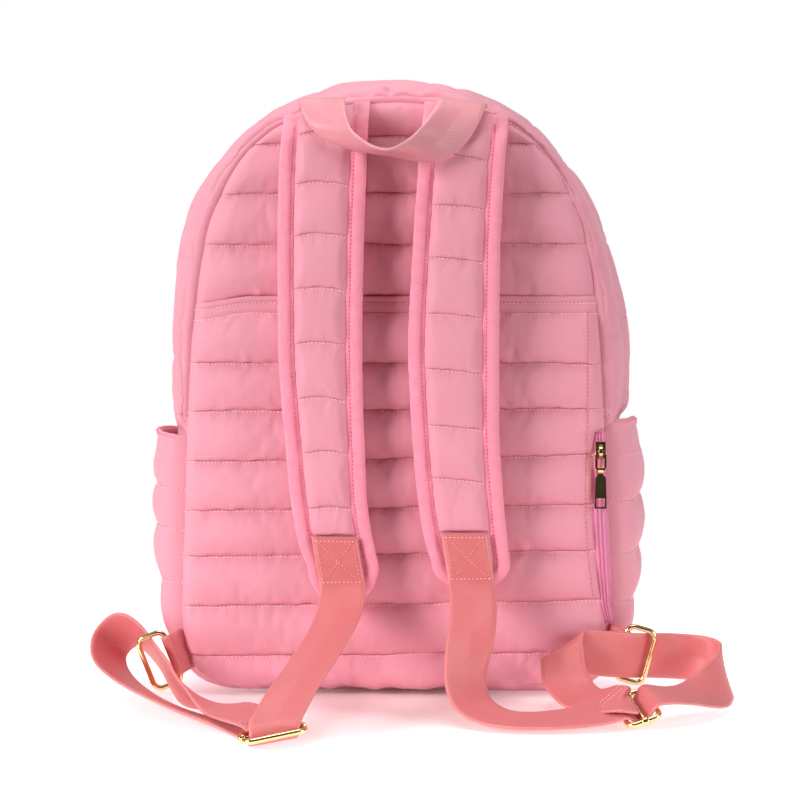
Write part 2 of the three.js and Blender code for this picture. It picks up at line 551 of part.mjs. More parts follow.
// A rounded rectangle, for the openings and outlines of the metal frames
function roundedRectangle(Kind, width, height, radius) {
  const [w, h] = [width / 2, height / 2];
  const path = new Kind();
  path.moveTo(-w + radius, -h);
  path.lineTo(w - radius, -h);
  path.absarc(w - radius, -h + radius, radius, -Math.PI / 2, 0);
  path.lineTo(w, h - radius);
  path.absarc(w - radius, h - radius, radius, 0, Math.PI / 2);
  path.lineTo(-w + radius, h);
  path.absarc(-w + radius, h - radius, radius, Math.PI / 2, Math.PI);
  path.lineTo(-w, -h + radius);
  path.absarc(-w + radius, -h + radius, radius, Math.PI, 1.5 * Math.PI);
  return path;
}

// A flat frame of round-edged wire with openings, centred on its own middle
const WIRE_CORE = 1.4;
function wireFrame(inner, openings, radius, wire) {
  const soft = (wire - WIRE_CORE) / 2;
  const outline = roundedRectangle(THREE.Shape, inner.long + 2 * wire - 2 * soft, inner.short + 2 * wire - 2 * soft, radius);
  outline.holes = openings(soft);
  const geometry = new THREE.ExtrudeGeometry(outline, {
    depth: WIRE_CORE, bevelThickness: soft, bevelSize: soft, bevelSegments: 1, curveSegments: 2,
  });
  return geometry.translate(0, 0, -WIRE_CORE / 2);
}
function placed(geometry, centre, long, short) {
  const x = point(...long).normalize();
  const z = x.clone().cross(point(...short)).normalize();
  const y = z.clone().cross(x);
  const matrix = new THREE.Matrix4().makeBasis(x, y, z).setPosition(...centre);
  return geometry.applyMatrix4(matrix);
}

// Rectangular rings, each held by a folded tab in the side seam
const RINGS = [
  { name: 'left', centre: [-165, -79, 25], long: [0.37, 0, -0.93], short: [0.93, 0, 0.37], bagSide: 1 },
  { name: 'right', centre: [168, -79, 31.5], long: [0.27, 0, 0.96], short: [0.96, 0, -0.27], bagSide: -1 },
];
const TAB_WIDTH = 29;
const TAB = { hole: WIRE / 2 + GAP, loop: WIRE / 2 + GAP + 1.3, thick: 2.6 };
for (const { name, centre, long, short, bagSide } of RINGS) {
  add(`ring_${name}`, placed(wireFrame(RING_INNER, (soft) => {
    return [roundedRectangle(THREE.Path, RING_INNER.long + 2 * soft, RING_INNER.short + 2 * soft, 4)];
  }, 5, WIRE), centre, long, short), gold);

  const barAt = point(...centre).addScaledVector(point(...short).normalize(), bagSide * (RING_INNER.short + WIRE) / 2);
  const tongue = BACK_Y - GAP - CLOTH - barAt.y;
  const profile = new THREE.Shape();
  const slant = Math.asin(TAB.thick / 2 / TAB.loop);
  profile.absarc(0, 0, TAB.loop, Math.PI / 2 + slant, 2.5 * Math.PI - slant);
  profile.lineTo(TAB.thick / 2, tongue);
  profile.lineTo(-TAB.thick / 2, tongue);
  profile.closePath();
  const hole = new THREE.Path();
  hole.absarc(0, 0, TAB.hole, 0, 2 * Math.PI);
  profile.holes = [hole];
  const tab = new THREE.ExtrudeGeometry(profile, { depth: TAB_WIDTH, bevelEnabled: false, curveSegments: 6 });
  tab.translate(0, 0, -TAB_WIDTH / 2);
  add(`ring_tab_${name}`, placed(tab, barAt.toArray(), short, [0, 1, 0]), webbing);
}

// Strap sliders: a frame with a bar across its middle, collared where the bar meets the frame
const SLIDERS = [
  { name: 'left', centre: [-68.5, -251.5, 10], long: [0.93, 0.34, 0.14], short: [-0.34, 0.94, 0] },
  { name: 'right', centre: [163.5, -171, 12], long: [-0.25, 0.93, 0.27], short: [0.91, 0.24, 0.33] },
];
const COLLAR = { radius: 3, length: 5 };
for (const { name, centre, long, short } of SLIDERS) {
  const frame = wireFrame(SLIDER_INNER, (soft) => {
    return [roundedRectangle(THREE.Path, SLIDER_INNER.long + 2 * soft, SLIDER_INNER.short + 2 * soft, 3)];
  }, 5, WIRE);
  const reach = SLIDER_INNER.long + WIRE;
  const bar = new THREE.CylinderGeometry(WIRE / 2 - 0.3, WIRE / 2 - 0.3, reach, 8).rotateZ(Math.PI / 2);
  const collars = [-1, 1].map((end) => {
    const collar = new THREE.CylinderGeometry(COLLAR.radius, COLLAR.radius, COLLAR.length, 8);
    return collar.translate(end * (SLIDER_INNER.long + WIRE) / 2, 0, 0);
  });
  add(`strap_slider_${name}`, placed(join([frame, bar, ...collars]), centre, long, short), gold);
}

// Plain slider at the left end of the main zip, sunk between the two puffed strips
const MAIN_SLIDER_Z = 212;
const sliderSeat = gussetPlace(-1, lengthAt(MAIN_SLIDER_Z), 0.48, archBulge(0.48) + GAP);
add('main_zip_slider', new THREE.BoxGeometry(3.2, 9, 13).translate(sliderSeat.x - 1.8, sliderSeat.y, sliderSeat.z), gold);

// Slider and hanging pull of the side zip
const PULL_X = 143.6;
const BAIL_Z = 173;
const SLIDER_BODY = { width: 7, thick: 3, tall: 12 };
const coilFace = tapeBase(PULL_X, BAIL_Z) - COIL - GAP;
const bodyFace = coilFace - SLIDER_BODY.thick;
const LINK_WIRE = 1.6;
const LINK_HOLE = 1.5;           // round holes that the link's bars turn in
const BAIL = { thick: 2.4, wide: 9, high: 5.4 };
const pivotY = bodyFace - LINK_HOLE - 0.8;
const sliderBody = new THREE.BoxGeometry(SLIDER_BODY.width, SLIDER_BODY.thick, SLIDER_BODY.tall);
sliderBody.translate(PULL_X, coilFace - SLIDER_BODY.thick / 2, BAIL_Z + 1);
const bailShape = new THREE.Shape();
bailShape.moveTo(-BAIL.wide / 2, -1);
bailShape.lineTo(BAIL.wide / 2, -1);
bailShape.quadraticCurveTo(BAIL.wide / 2, BAIL.high, 0, BAIL.high);
bailShape.quadraticCurveTo(-BAIL.wide / 2, BAIL.high, -BAIL.wide / 2, -1);
const roundHole = (y) => new THREE.Path().absarc(0, y, LINK_HOLE, 0, 2 * Math.PI);
bailShape.holes = [roundHole(bodyFace - pivotY)];
const bail = new THREE.ExtrudeGeometry(bailShape, { depth: BAIL.thick, bevelEnabled: false, curveSegments: 5 });
bail.translate(0, 0, -BAIL.thick / 2);
placed(bail, [PULL_X, bodyFace, BAIL_Z], [0, 0, 1], [0, -1, 0]);
add('side_zip_slider', join([sliderBody, bail]), gold);

const LINK = { long: 11, short: 4.8, corner: 1.6 };
const linkShape = roundedRectangle(THREE.Shape, LINK.long + 2 * LINK_WIRE, LINK.short + 2 * LINK_WIRE, LINK.corner + LINK_WIRE);
linkShape.holes = [roundedRectangle(THREE.Path, LINK.long, LINK.short, LINK.corner)];
const link = new THREE.ExtrudeGeometry(linkShape, { depth: LINK_WIRE, bevelEnabled: false, curveSegments: 3 });
link.translate(0, 0, -LINK_WIRE / 2);
const linkMiddle = BAIL_Z - (LINK.long + LINK_WIRE) / 2;
add('pull_link', placed(link, [PULL_X, pivotY, linkMiddle], [0, 0, 1], [1, 0, 0]), gold);

// The tab hangs by a barrel on the link's lower bar and has a window near its end
const PULL_TAB = { width: 8.4, tall: 25, thick: 1.8, neck: 3.4, shoulder: 5.6, window: 6, rim: 1.3 };
const BARREL = { radius: 2.5, length: 3.4 };
const barrelShape = new THREE.Shape().absarc(0, 0, BARREL.radius, 0, 2 * Math.PI);
barrelShape.holes = [roundHole(0)];
const barrel = new THREE.ExtrudeGeometry(barrelShape, { depth: BARREL.length, bevelEnabled: false, curveSegments: 5 });
barrel.translate(0, 0, -BARREL.length / 2).rotateY(Math.PI / 2);
const plateTop = -(LINK_HOLE + BARREL.radius) / 2;
const plateEnd = plateTop - PULL_TAB.tall;
const plateShape = new THREE.Shape();
plateShape.moveTo(-PULL_TAB.width / 2, plateEnd);
plateShape.lineTo(PULL_TAB.width / 2, plateEnd);
plateShape.lineTo(PULL_TAB.width / 2 - 0.5, -PULL_TAB.shoulder);
plateShape.lineTo(PULL_TAB.neck / 2, plateTop - 1);
plateShape.lineTo(PULL_TAB.neck / 2, plateTop);
plateShape.lineTo(-PULL_TAB.neck / 2, plateTop);
plateShape.lineTo(-PULL_TAB.neck / 2, plateTop - 1);
plateShape.lineTo(-PULL_TAB.width / 2 + 0.5, -PULL_TAB.shoulder);
plateShape.closePath();
const windowWidth = PULL_TAB.width - 2 * PULL_TAB.rim;
const tabWindow = roundedRectangle(THREE.Path, windowWidth, PULL_TAB.window, 0.4);
const windowMiddle = plateEnd + PULL_TAB.rim + PULL_TAB.window / 2;
plateShape.holes = [new THREE.Path(tabWindow.getPoints(1).map((p) => new THREE.Vector2(p.x, p.y + windowMiddle)))];
const plate = new THREE.ExtrudeGeometry(plateShape, { depth: PULL_TAB.thick, bevelEnabled: false });
plate.translate(0, 0, -PULL_TAB.thick / 2).rotateX(Math.PI / 2);
barrel.rotateX(Math.PI / 2);
const lowerBar = BAIL_Z - LINK.long - LINK_WIRE;
add('pull_tab', join([barrel, plate]).translate(PULL_X, pivotY, lowerBar), gold);

export default bag;
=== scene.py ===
# %% [markdown]
# # A quilted backpack
# The bag stands on the floor with its strap side towards the camera. Its solids come from the
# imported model, which stays fixed. This script dresses them: it sews the quilted panels, binds
# the straps, threads the webbing through its gold hardware and lights the result like a product photo.

# %% Frame and sizes
import math

import bmesh
import bpy
import numpy as np
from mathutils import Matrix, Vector, noise


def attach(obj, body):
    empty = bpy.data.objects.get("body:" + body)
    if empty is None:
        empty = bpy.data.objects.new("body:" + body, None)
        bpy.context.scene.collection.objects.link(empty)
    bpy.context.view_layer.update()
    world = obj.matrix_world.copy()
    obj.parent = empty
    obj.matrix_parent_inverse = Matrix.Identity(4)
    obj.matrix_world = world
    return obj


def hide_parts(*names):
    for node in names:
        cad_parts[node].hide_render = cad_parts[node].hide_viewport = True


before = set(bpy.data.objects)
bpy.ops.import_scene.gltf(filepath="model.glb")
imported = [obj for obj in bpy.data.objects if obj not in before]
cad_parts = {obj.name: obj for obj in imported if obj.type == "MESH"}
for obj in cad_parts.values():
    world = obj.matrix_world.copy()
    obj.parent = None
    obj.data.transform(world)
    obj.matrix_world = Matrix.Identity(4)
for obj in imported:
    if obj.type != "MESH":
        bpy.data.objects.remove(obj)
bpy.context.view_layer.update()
MM = 0.001                      # the tables below are in millimetres, Blender's scene in metres
BAG = "bag"
PULL = "zip_pull"

# %% [markdown]
# ## Camera
# A long lens from a little above the middle of the bag keeps its sides almost parallel, as in a
# shop photo. The place, the aim and the lens are real sizes, so nothing depends on the window.

# %% Camera
CAMERA_AT = (73.3, -1663.5, 304.0)
CAMERA_AIM = (3.5, -65.0, 208.0)
LENS = 102.86
SENSOR = 36.0


def aim(thing, at, target):
    """Puts a camera or light at a place, looking at a target, both in millimetres."""
    thing.location = Vector(at) * MM
    thing.rotation_euler = (Vector(target) - Vector(at)).to_track_quat("-Z", "Y").to_euler()


scene = bpy.context.scene
camera = bpy.data.objects.new("camera", bpy.data.cameras.new("camera"))
camera.data.lens = LENS
camera.data.sensor_width = SENSOR
aim(camera, CAMERA_AT, CAMERA_AIM)
scene.collection.objects.link(camera)
scene.camera = camera
print("camera:", [round(v, 3) for v in camera.location], "m, lens", LENS, "mm")

# %% [markdown]
# ## Light
# Two large soft lights stand far out to the left and the right, the left one stronger. Their light
# comes in low across the panels, so it shows every pucker and leaves the gap between the straps dark.
# The room behind the camera is dark too, which gives the polished metal something to reflect, while
# the backdrop that the camera sees is pure white.

# %% Light
WORLD_LIGHT = 0.32              # light from the white walls beside and behind the bag
WORLD_BEHIND = 0.03             # light from behind the camera
WORLD_SEEN = 1.0                # the backdrop itself is pure white
WORLD_TURN = (-0.85, 0.0)       # from behind the camera to straight beside the bag, as a direction's Y
LIGHT_AIM = (0, -60, 200)
LIGHTS = [
    # name, place, size, power
    ("key_left", (-1650, -1300, 800), 800, 38),
    ("fill_right", (1800, -1080, 700), 900, 18),
    ("top_soft", (-100, -150, 1700), 1000, 12),
]
world = bpy.data.worlds.new("studio")
world.use_nodes = True
nodes, links = world.node_tree.nodes, world.node_tree.links
backdrop = nodes["Background"]
backdrop.inputs["Color"].default_value = (1, 1, 1, 1)
direction = nodes.new("ShaderNodeSeparateXYZ")
links.new(nodes.new("ShaderNodeTexCoord").outputs["Generated"], direction.inputs[0])
walls = nodes.new("ShaderNodeMapRange")
walls.inputs["From Min"].default_value = WORLD_TURN[0]
walls.inputs["From Max"].default_value = WORLD_TURN[1]
walls.inputs["To Min"].default_value = WORLD_BEHIND
walls.inputs["To Max"].default_value = WORLD_LIGHT
links.new(direction.outputs["Y"], walls.inputs["Value"])
strength = nodes.new("ShaderNodeMapRange")
strength.inputs["To Max"].default_value = WORLD_SEEN
links.new(nodes.new("ShaderNodeLightPath").outputs["Is Camera Ray"], strength.inputs["Value"])
links.new(walls.outputs["Result"], strength.inputs["To Min"])
links.new(strength.outputs["Result"], backdrop.inputs["Strength"])
scene.world = world
scene.view_settings.view_transform = "Standard"
for name, place, size, power in LIGHTS:
    lamp = bpy.data.lights.new(name, "AREA")
    lamp.size = size * MM
    lamp.energy = power
    light = bpy.data.objects.new(name, lamp)
    aim(light, place, LIGHT_AIM)
    scene.collection.objects.link(light)
print("light:", len(LIGHTS), "soft lights")

# %% [markdown]
# ## A small language for materials
# Shader maths reads better as Python. `Socket` wraps an output so that `1 - mask * 0.5` adds the
# Math nodes by itself, and `Finish.node` makes any other node from its type, settings and sockets.

# %% Material helpers
OBJECT_OUTPUT = 3               # of a Texture Coordinate node
FACTOR_OUTPUT = 2               # of an Attribute node
MIX_LOW, MIX_HIGH, MIX_COLOUR = 6, 7, 2   # the colour sockets of a Mix node


class Socket:
    """An output of a node that takes part in sums."""

    def __init__(self, finish, output):
        self.finish = finish
        self.output = output

    def math(self, operation, other, flip=False):
        pair = (other, self) if flip else (self, other)
        return self.finish.node("ShaderNodeMath", {"operation": operation}, {0: pair[0], 1: pair[1]})

    def __add__(self, other):
        return self.math("ADD", other)

    def __sub__(self, other):
        return self.math("SUBTRACT", other)

    def __rsub__(self, other):
        return self.math("SUBTRACT", other, flip=True)

    def __mul__(self, other):
        return self.math("MULTIPLY", other)

    __radd__ = __add__
    __rmul__ = __mul__


class Finish:
    """One material and the nodes that feed its Principled shader."""

    def __init__(self, name, **constants):
        self.material = bpy.data.materials.new(name)
        self.material.use_nodes = True
        self.tree = self.material.node_tree
        self.shader = self.tree.nodes["Principled BSDF"]
        for key, value in constants.items():
            self.shader.inputs[key.replace("_", " ")].default_value = value

    def node(self, kind, settings=None, sockets=None, output=0):
        made = self.tree.nodes.new(kind)
        for key, value in (settings or {}).items():
            setattr(made, key, value)
        for key, value in (sockets or {}).items():
            if isinstance(value, Socket):
                self.tree.links.new(value.output, made.inputs[key])
            else:
                made.inputs[key].default_value = value
        return Socket(self, made.outputs[output])

    def feed(self, name, value):
        self.tree.links.new(value.output, self.shader.inputs[name])

    def place(self):
        """Object coordinates in millimetres."""
        spot = self.node("ShaderNodeTexCoord", output=OBJECT_OUTPUT)
        scale = {"operation": "SCALE"}
        return self.node("ShaderNodeVectorMath", scale, {0: spot, "Scale": 1 / MM})

    def axes(self, vector):
        """The three parts of a vector."""
        parts = self.node("ShaderNodeSeparateXYZ", sockets={0: vector})
        return [Socket(self, output) for output in parts.output.node.outputs]

    def cloud(self, vector, size, detail=2.0):
        """Soft noise from 0 to 1 whose blotches are about this many millimetres."""
        sockets = {"Vector": vector, "Scale": 1 / size, "Detail": detail}
        return self.node("ShaderNodeTexNoise", sockets=sockets)

    def stretch(self, vector, scale):
        """A vector scaled by its own factor along each axis."""
        return self.node("ShaderNodeVectorMath", {"operation": "MULTIPLY"}, {0: vector, 1: scale})

    def blend(self, share, low, high):
        """A colour between two colours."""
        mixer = self.tree.nodes.new("ShaderNodeMix")
        mixer.data_type = "RGBA"
        self.tree.links.new(share.output, mixer.inputs[0])
        mixer.inputs[MIX_LOW].default_value = (*low, 1)
        mixer.inputs[MIX_HIGH].default_value = (*high, 1)
        return Socket(self, mixer.outputs[MIX_COLOUR])

    def bump(self, height, strength, distance):
        """Raises the surface by a height, in millimetres at most."""
        sockets = {"Height": height, "Strength": strength, "Distance": distance * MM}
        self.feed("Normal", self.node("ShaderNodeBump", sockets=sockets))


def linear(red, green, blue):
    """A colour picked on a screen, as the linear values that shaders use."""
    return tuple(((c / 255 + 0.055) / 1.055) ** 2.4 for c in (red, green, blue))


print("materials: helpers ready")

# %% [markdown]
# ## Quilted nylon
# The shell is thin matte nylon over wadding. Up close it has a fine plain weave and faint crinkles,
# and its pink drifts a little from place to place. Beside a seam the cloth is drawn into short fine
# creases. Each sheet carries a UV map in millimetres, along and across its seams, and a value that
# fades away from the seams, so the creases stay where the thread pulls.

# %% Nylon
THREAD_PITCH = 0.7
CRINKLE = 8.0                   # size of the faint crinkles
DRIFT = 45.0                    # size of the patches in which the colour drifts
CREASE = 3.4                    # width of a crease beside a seam
CREASE_DRAW = 0.16              # its width as a share of its length


def nylon(name, pale, deep):
    finish = Finish(name, Sheen_Weight=0.2, Sheen_Roughness=0.45, Specular_IOR_Level=0.3)
    place = finish.place()
    x, _, z = finish.axes(place)
    turns = 2 * math.pi / THREAD_PITCH
    weave = (x * turns).math("SINE", 0) * (z * turns).math("SINE", 0)
    crinkle = finish.cloud(finish.stretch(place, (1.0, 1.0, 0.5)), CRINKLE, detail=4.0)
    drift = finish.cloud(place, DRIFT)
    sheet = finish.node("ShaderNodeUVMap", {"uv_map": "cloth"})
    drawn = finish.cloud(finish.stretch(sheet, (1.0, CREASE_DRAW, 1.0)), CREASE, detail=1.5)
    near = finish.node("ShaderNodeAttribute", {"attribute_name": "near_seam"}, output=FACTOR_OUTPUT)
    finish.feed("Base Color", finish.blend(drift * 0.7 + crinkle * 0.3, deep, pale))
    finish.feed("Roughness", crinkle * 0.14 + 0.54)
    finish.bump(weave * 0.015 + crinkle * 0.35 + drawn * near * 0.8, 0.75, 1.0)
    return finish.material


SHELL = nylon("quilted_nylon", linear(240, 163, 179), linear(232, 148, 166))
print("nylon:", THREAD_PITCH, "mm threads")

# %% [markdown]
# ## Binding, webbing, zip, thread and gold
# The binding is a soft ribbed tape in a hotter pink. The webbing is woven in a herringbone: its ribs
# slant one way and then the other in narrow columns, so it needs a UV map that counts millimetres
# across and along the band. Its colour is painted paler on the ribs' ridges and darker in painted shade
# in the grooves, with a painted highlight along both edges. The zip tape has fine ribs across it, with
# painted shade between them too. The thread is paler than the cloth, so that the stitches show, and
# the metal is polished gold with a few faint scuffs.

# %% Trim finishes
RIB = 1.1                       # pitch of the binding's ribs
TWILL = 1.3                     # pitch of the webbing's ribs
ZIP_RIB = 1.2                   # pitch of the zip tape's ribs
HERRINGBONE = 16.0              # width of one column of ribs
WEBBING_WIDTH = 32.0
WEBBING_THICK = 1.8
PAINTED_EDGE_HIGHLIGHT = 1.5                  # width of the painted highlight along the webbing's edges


def binding_tape():
    finish = Finish("binding_tape", Sheen_Weight=0.35, Sheen_Roughness=0.5, Specular_IOR_Level=0.25)
    place = finish.place()
    x, _, z = finish.axes(place)
    ribs = ((x + z) * (2 * math.pi / RIB)).math("SINE", 0)
    fuzz = finish.cloud(place, 6.0, detail=4.0)
    finish.feed("Base Color", finish.blend(fuzz, linear(250, 136, 162), linear(255, 166, 185)))
    finish.feed("Roughness", fuzz * 0.2 + 0.6)
    finish.bump(ribs * 0.1 + fuzz, 0.35, 0.6)
    return finish.material


def herringbone_webbing(name, deep, pale):
    finish = Finish(name, Sheen_Weight=0.1, Specular_IOR_Level=0.6)
    u, v, _ = finish.axes(finish.node("ShaderNodeUVMap", {"uv_map": "cloth"}))
    slant = u.math("PINGPONG", HERRINGBONE)
    ribs = ((v + slant * 0.8) * (2 * math.pi / TWILL)).math("SINE", 0) * 0.5 + 0.5
    edge = (u - WEBBING_WIDTH / 2).math("ABSOLUTE", 0).math("GREATER_THAN", WEBBING_WIDTH / 2 - PAINTED_EDGE_HIGHLIGHT)
    drift = finish.cloud(finish.place(), 14.0)
    # Painted light: the ribs are paler on their ridges and darker in painted shade in the grooves, the
    # edges carry a painted highlight, and the drift is the webbing's own uneven tone.
    painted_light_and_drift = ribs * 0.75 + drift * 0.2 + edge * 0.3
    finish.feed("Base Color", finish.blend(painted_light_and_drift, deep, pale))
    finish.feed("Roughness", 0.44 - ribs * 0.12)
    finish.bump(ribs + edge * 0.6, 0.35, 0.35)
    return finish.material


def zip_ribs():
    finish = Finish("zip_tape", Sheen_Weight=0.15, Specular_IOR_Level=0.45)
    place = finish.place()
    z = finish.axes(place)[2]
    ribs = (z * (2 * math.pi / ZIP_RIB)).math("SINE", 0) * 0.5 + 0.5
    drift = finish.cloud(place, 12.0)
    # Painted light: the tape's ribs are paler on their ridges and darker in painted shade between them; the
    # drift is the tape's own uneven tone.
    painted_light_and_drift = ribs * 0.4 + drift * 0.5
    finish.feed("Base Color", finish.blend(painted_light_and_drift, linear(218, 116, 157), linear(240, 152, 184)))
    finish.feed("Roughness", 0.5 - ribs * 0.1)
    finish.bump(ribs, 0.4, 0.3)
    return finish.material


def thread(name, deep, pale):
    finish = Finish(name, Roughness=0.55, Specular_IOR_Level=0.3)
    twist = finish.cloud(finish.place(), 1.5)
    finish.feed("Base Color", finish.blend(twist, deep, pale))
    return finish.material


def polished_gold():
    finish = Finish("polished_gold", Metallic=1.0)
    place = finish.place()
    smear = finish.cloud(place, 7.0, detail=4.0)
    finish.feed("Base Color", finish.blend(smear, linear(236, 200, 138), linear(250, 224, 172)))
    finish.feed("Roughness", smear * 0.14 + 0.1)
    return finish.material


TRIM = binding_tape()
# The deeper of the two colours fills the painted shade between the ribs, the paler one their ridges and the
# painted edge highlights, and the drift in tone runs between them.
WEBBING = herringbone_webbing("herringbone_webbing", linear(204, 80, 86), linear(238, 142, 141))
HANDLE_WEBBING = herringbone_webbing("handle_webbing", linear(222, 120, 133), linear(244, 176, 184))
ZIP_TAPE = zip_ribs()
THREAD = thread("pale_thread", linear(246, 194, 202), linear(255, 224, 228))
TONE_THREAD = thread("tone_thread", linear(236, 150, 142), linear(250, 186, 178))
HOT_THREAD = thread("hot_thread", linear(232, 96, 128), linear(246, 124, 152))
GOLD = polished_gold()
trimmings = (TRIM, WEBBING, HANDLE_WEBBING, ZIP_TAPE, THREAD, TONE_THREAD, HOT_THREAD, GOLD)
print("finishes:", [material.name for material in trimmings])

# %% [markdown]
# ## Meshes from grids
# Almost every soft piece is a sheet with rows and columns. `wall` takes the grid of its outer face
# and the grid of its inner face, joins them round the rim and turns the faces outwards, so each
# piece is one closed body.

# %% Mesh helpers
CREASE_REACH = 3.5              # creases fade over this distance from a seam
LIFT = 8.0                      # the middle of the top seam is raised by this much
LIFT_WIDTH = 58.0               # and it fades over about this distance to each side
LIFT_HEIGHTS = (345.0, 404.0)   # it grows upwards from nothing to all of it
LIFT_DEPTHS = (36.0, 60.0)      # and towards the back seam


def smooth_step(value, low, high):
    """Runs smoothly from 0 to 1 between two values."""
    share = np.clip((value - low) / (high - low), 0, 1)
    return share * share * (3 - 2 * share)


def lifted(points):
    """Raises the middle of the top seam, with everything that is sewn into it."""
    points = np.array(points, float)
    x, y, z = np.moveaxis(points, -1, 0)
    share = smooth_step(z, *LIFT_HEIGHTS) * smooth_step(-y, *LIFT_DEPTHS)
    points[..., 2] += LIFT * share * np.exp(-((x / LIFT_WIDTH) ** 2))
    return points


def grid_faces(rows, cols, start=0, flip=False):
    """Quads over a grid of points that is stored row by row."""
    r, c = np.meshgrid(np.arange(rows - 1), np.arange(cols - 1), indexing="ij")
    a = start + (r * cols + c).ravel()
    quads = np.stack([a, a + 1, a + cols + 1, a + cols], axis=1)
    return quads[:, ::-1] if flip else quads


def make_piece(name, points, faces, material, uv=None, near=None):
    """A smooth mesh object from points in millimetres, with its faces turned outwards."""
    points = lifted(points) if material in (SHELL, TRIM) else np.asarray(points, float)
    fans = [(face[0], face[i], face[i + 1]) for face in faces for i in range(1, len(face) - 1)]
    a, b, c = points[np.array(fans).T]
    if np.einsum("ij,ij->i", a, np.cross(b, c)).sum() < 0:
        faces = [face[::-1] for face in faces]
    mesh = bpy.data.meshes.new(name)
    mesh.from_pydata((points * MM).tolist(), [], [[int(i) for i in face] for face in faces])
    mesh.polygons.foreach_set("use_smooth", [True] * len(mesh.polygons))
    mesh.materials.append(material)
    if uv is not None:
        layer = mesh.uv_layers.new(name="cloth")
        loops = np.zeros(len(mesh.loops), int)
        mesh.loops.foreach_get("vertex_index", loops)
        layer.data.foreach_set("uv", np.asarray(uv, float)[loops].ravel())
    if near is not None:
        mesh.attributes.new("near_seam", "FLOAT", "POINT").data.foreach_set("value", np.ravel(near))
    mesh.update()
    piece = bpy.data.objects.new(name, mesh)
    scene.collection.objects.link(piece)
    return piece


def wall(name, outer, inner, material, sheet=None, away=None):
    """A closed wall between two grids of the same size, with the sheet's own places for creases."""
    rows, cols = outer.shape[:2]
    count = rows * cols
    faces = [*grid_faces(rows, cols), *grid_faces(rows, cols, count, flip=True)]
    index = np.arange(count).reshape(rows, cols)
    rim = [*index[0, :-1], *index[:-1, -1], *index[-1, :0:-1], *index[:0:-1, 0]]
    for a, b in zip(rim, rim[1:] + rim[:1]):
        faces.append((b, a, a + count, b + count))
    points = np.concatenate([outer.reshape(-1, 3), inner.reshape(-1, 3)])
    if sheet is None:
        return make_piece(name, points, faces, material)
    uv = np.stack(np.broadcast_arrays(*sheet, outer[:, :, 0])[:2], axis=2).reshape(-1, 2)
    near = np.exp(-np.broadcast_to(away, (rows, cols)) / CREASE_REACH).ravel()
    return make_piece(name, points, faces, material, np.tile(uv, (2, 1)), np.concatenate([near, 0 * near]))


def sweep(name, rings, material, closed=False, uv=None):
    """A rod through rings of points, joined into a loop or capped at both ends."""
    rings = np.asarray(rings, float)
    count, sides = rings.shape[:2]
    ring = np.arange(count if closed else count - 1)[:, None]
    side = np.arange(sides)[None, :]
    after = (ring + 1) % count
    beside = (side + 1) % sides
    quads = [ring * sides + side, ring * sides + beside, after * sides + beside, after * sides + side]
    faces = np.stack(quads, axis=2).reshape(-1, 4).tolist()
    if not closed:
        faces.append(list(range(sides))[::-1])
        faces.append(list(range((count - 1) * sides, count * sides)))
    return make_piece(name, rings.reshape(-1, 3), faces, material, uv)


def finish_piece(piece, *nodes, slot=None, body=BAG):
    """Lets a piece ride on its body in place of the solids that it stands for."""
    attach(piece, body)
    if nodes:
        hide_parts(*nodes)
    print(piece.name, len(piece.data.polygons), "faces")
    return piece


def ripple(u, v, seed):
    """Smooth noise from -1 to 1 over two arrays of numbers."""
    u, v = np.broadcast_arrays(u, v)
    flat = [noise.noise((a, b, seed)) for a, b in zip(u.ravel(), v.ravel())]
    return np.array(flat).reshape(u.shape)


print("meshes: helpers ready")

# %% [markdown]
# ## The outline of the bag
# One table holds half of the back seam, from the middle of the bottom to the middle of the top. All
# the panels and strips of the bag hang on this curve, so they meet along the same seams.

# %% Outline
BACK_Y = -65.0                  # plane of the back seam
FRONT_Y = 58.0                  # plane of the front seam
FRONT_GROW = 6.0                # the front outline is larger by this much
BASE_Z = 6.0
TOP_Z = 408.0
WIDEST = 150.5
HIGH_CORNER_Z = 386.0           # the round top starts here
ZIP_END_Z = 197.0               # the main zip ends here
GAP = 0.4                       # between pieces that are sewn together
CLOTH = 2.4                     # thickness of plain cloth with its lining
FLAT_ROW = 2                    # the flat bottom ends at this row of the outline
HIGH_ROW = 17                   # and the round top starts at this one
OUTLINE = np.array([
    # half width, height
    (0, 6), (60, 6), (112, 6), (130, 10), (142, 19), (148, 34), (150.5, 60), (150, 95), (148.5, 126),
    (147.5, 162), (146, 198), (142.5, 255), (140, 278), (136.5, 303), (131, 329), (122.5, 351),
    (110, 373), (98.5, 386), (80, 399), (55, 405), (28, 407.5), (0, 408),
])


def curve(xs, ys):
    """A smooth curve through a table's rows that never overshoots them."""
    xs, ys = np.asarray(xs, float), np.asarray(ys, float)
    slope = np.diff(ys) / np.diff(xs)
    both = slope[:-1] * slope[1:]
    safe = np.where(both > 0, slope[:-1] + slope[1:], 1)
    middle = np.where(both > 0, 2 * both / safe, 0)
    lean = np.concatenate([slope[:1], middle, slope[-1:]])

    def value(x):
        x = np.asarray(x, float)
        i = np.clip(np.searchsorted(xs, x) - 1, 0, len(xs) - 2)
        span = xs[i + 1] - xs[i]
        t = np.clip((x - xs[i]) / span, 0, 1)
        left = (1 + 2 * t) * (1 - t) ** 2 * ys[i] + t * (1 - t) ** 2 * span * lean[i]
        return left + t * t * (3 - 2 * t) * ys[i + 1] + t * t * (t - 1) * span * lean[i + 1]

    return value


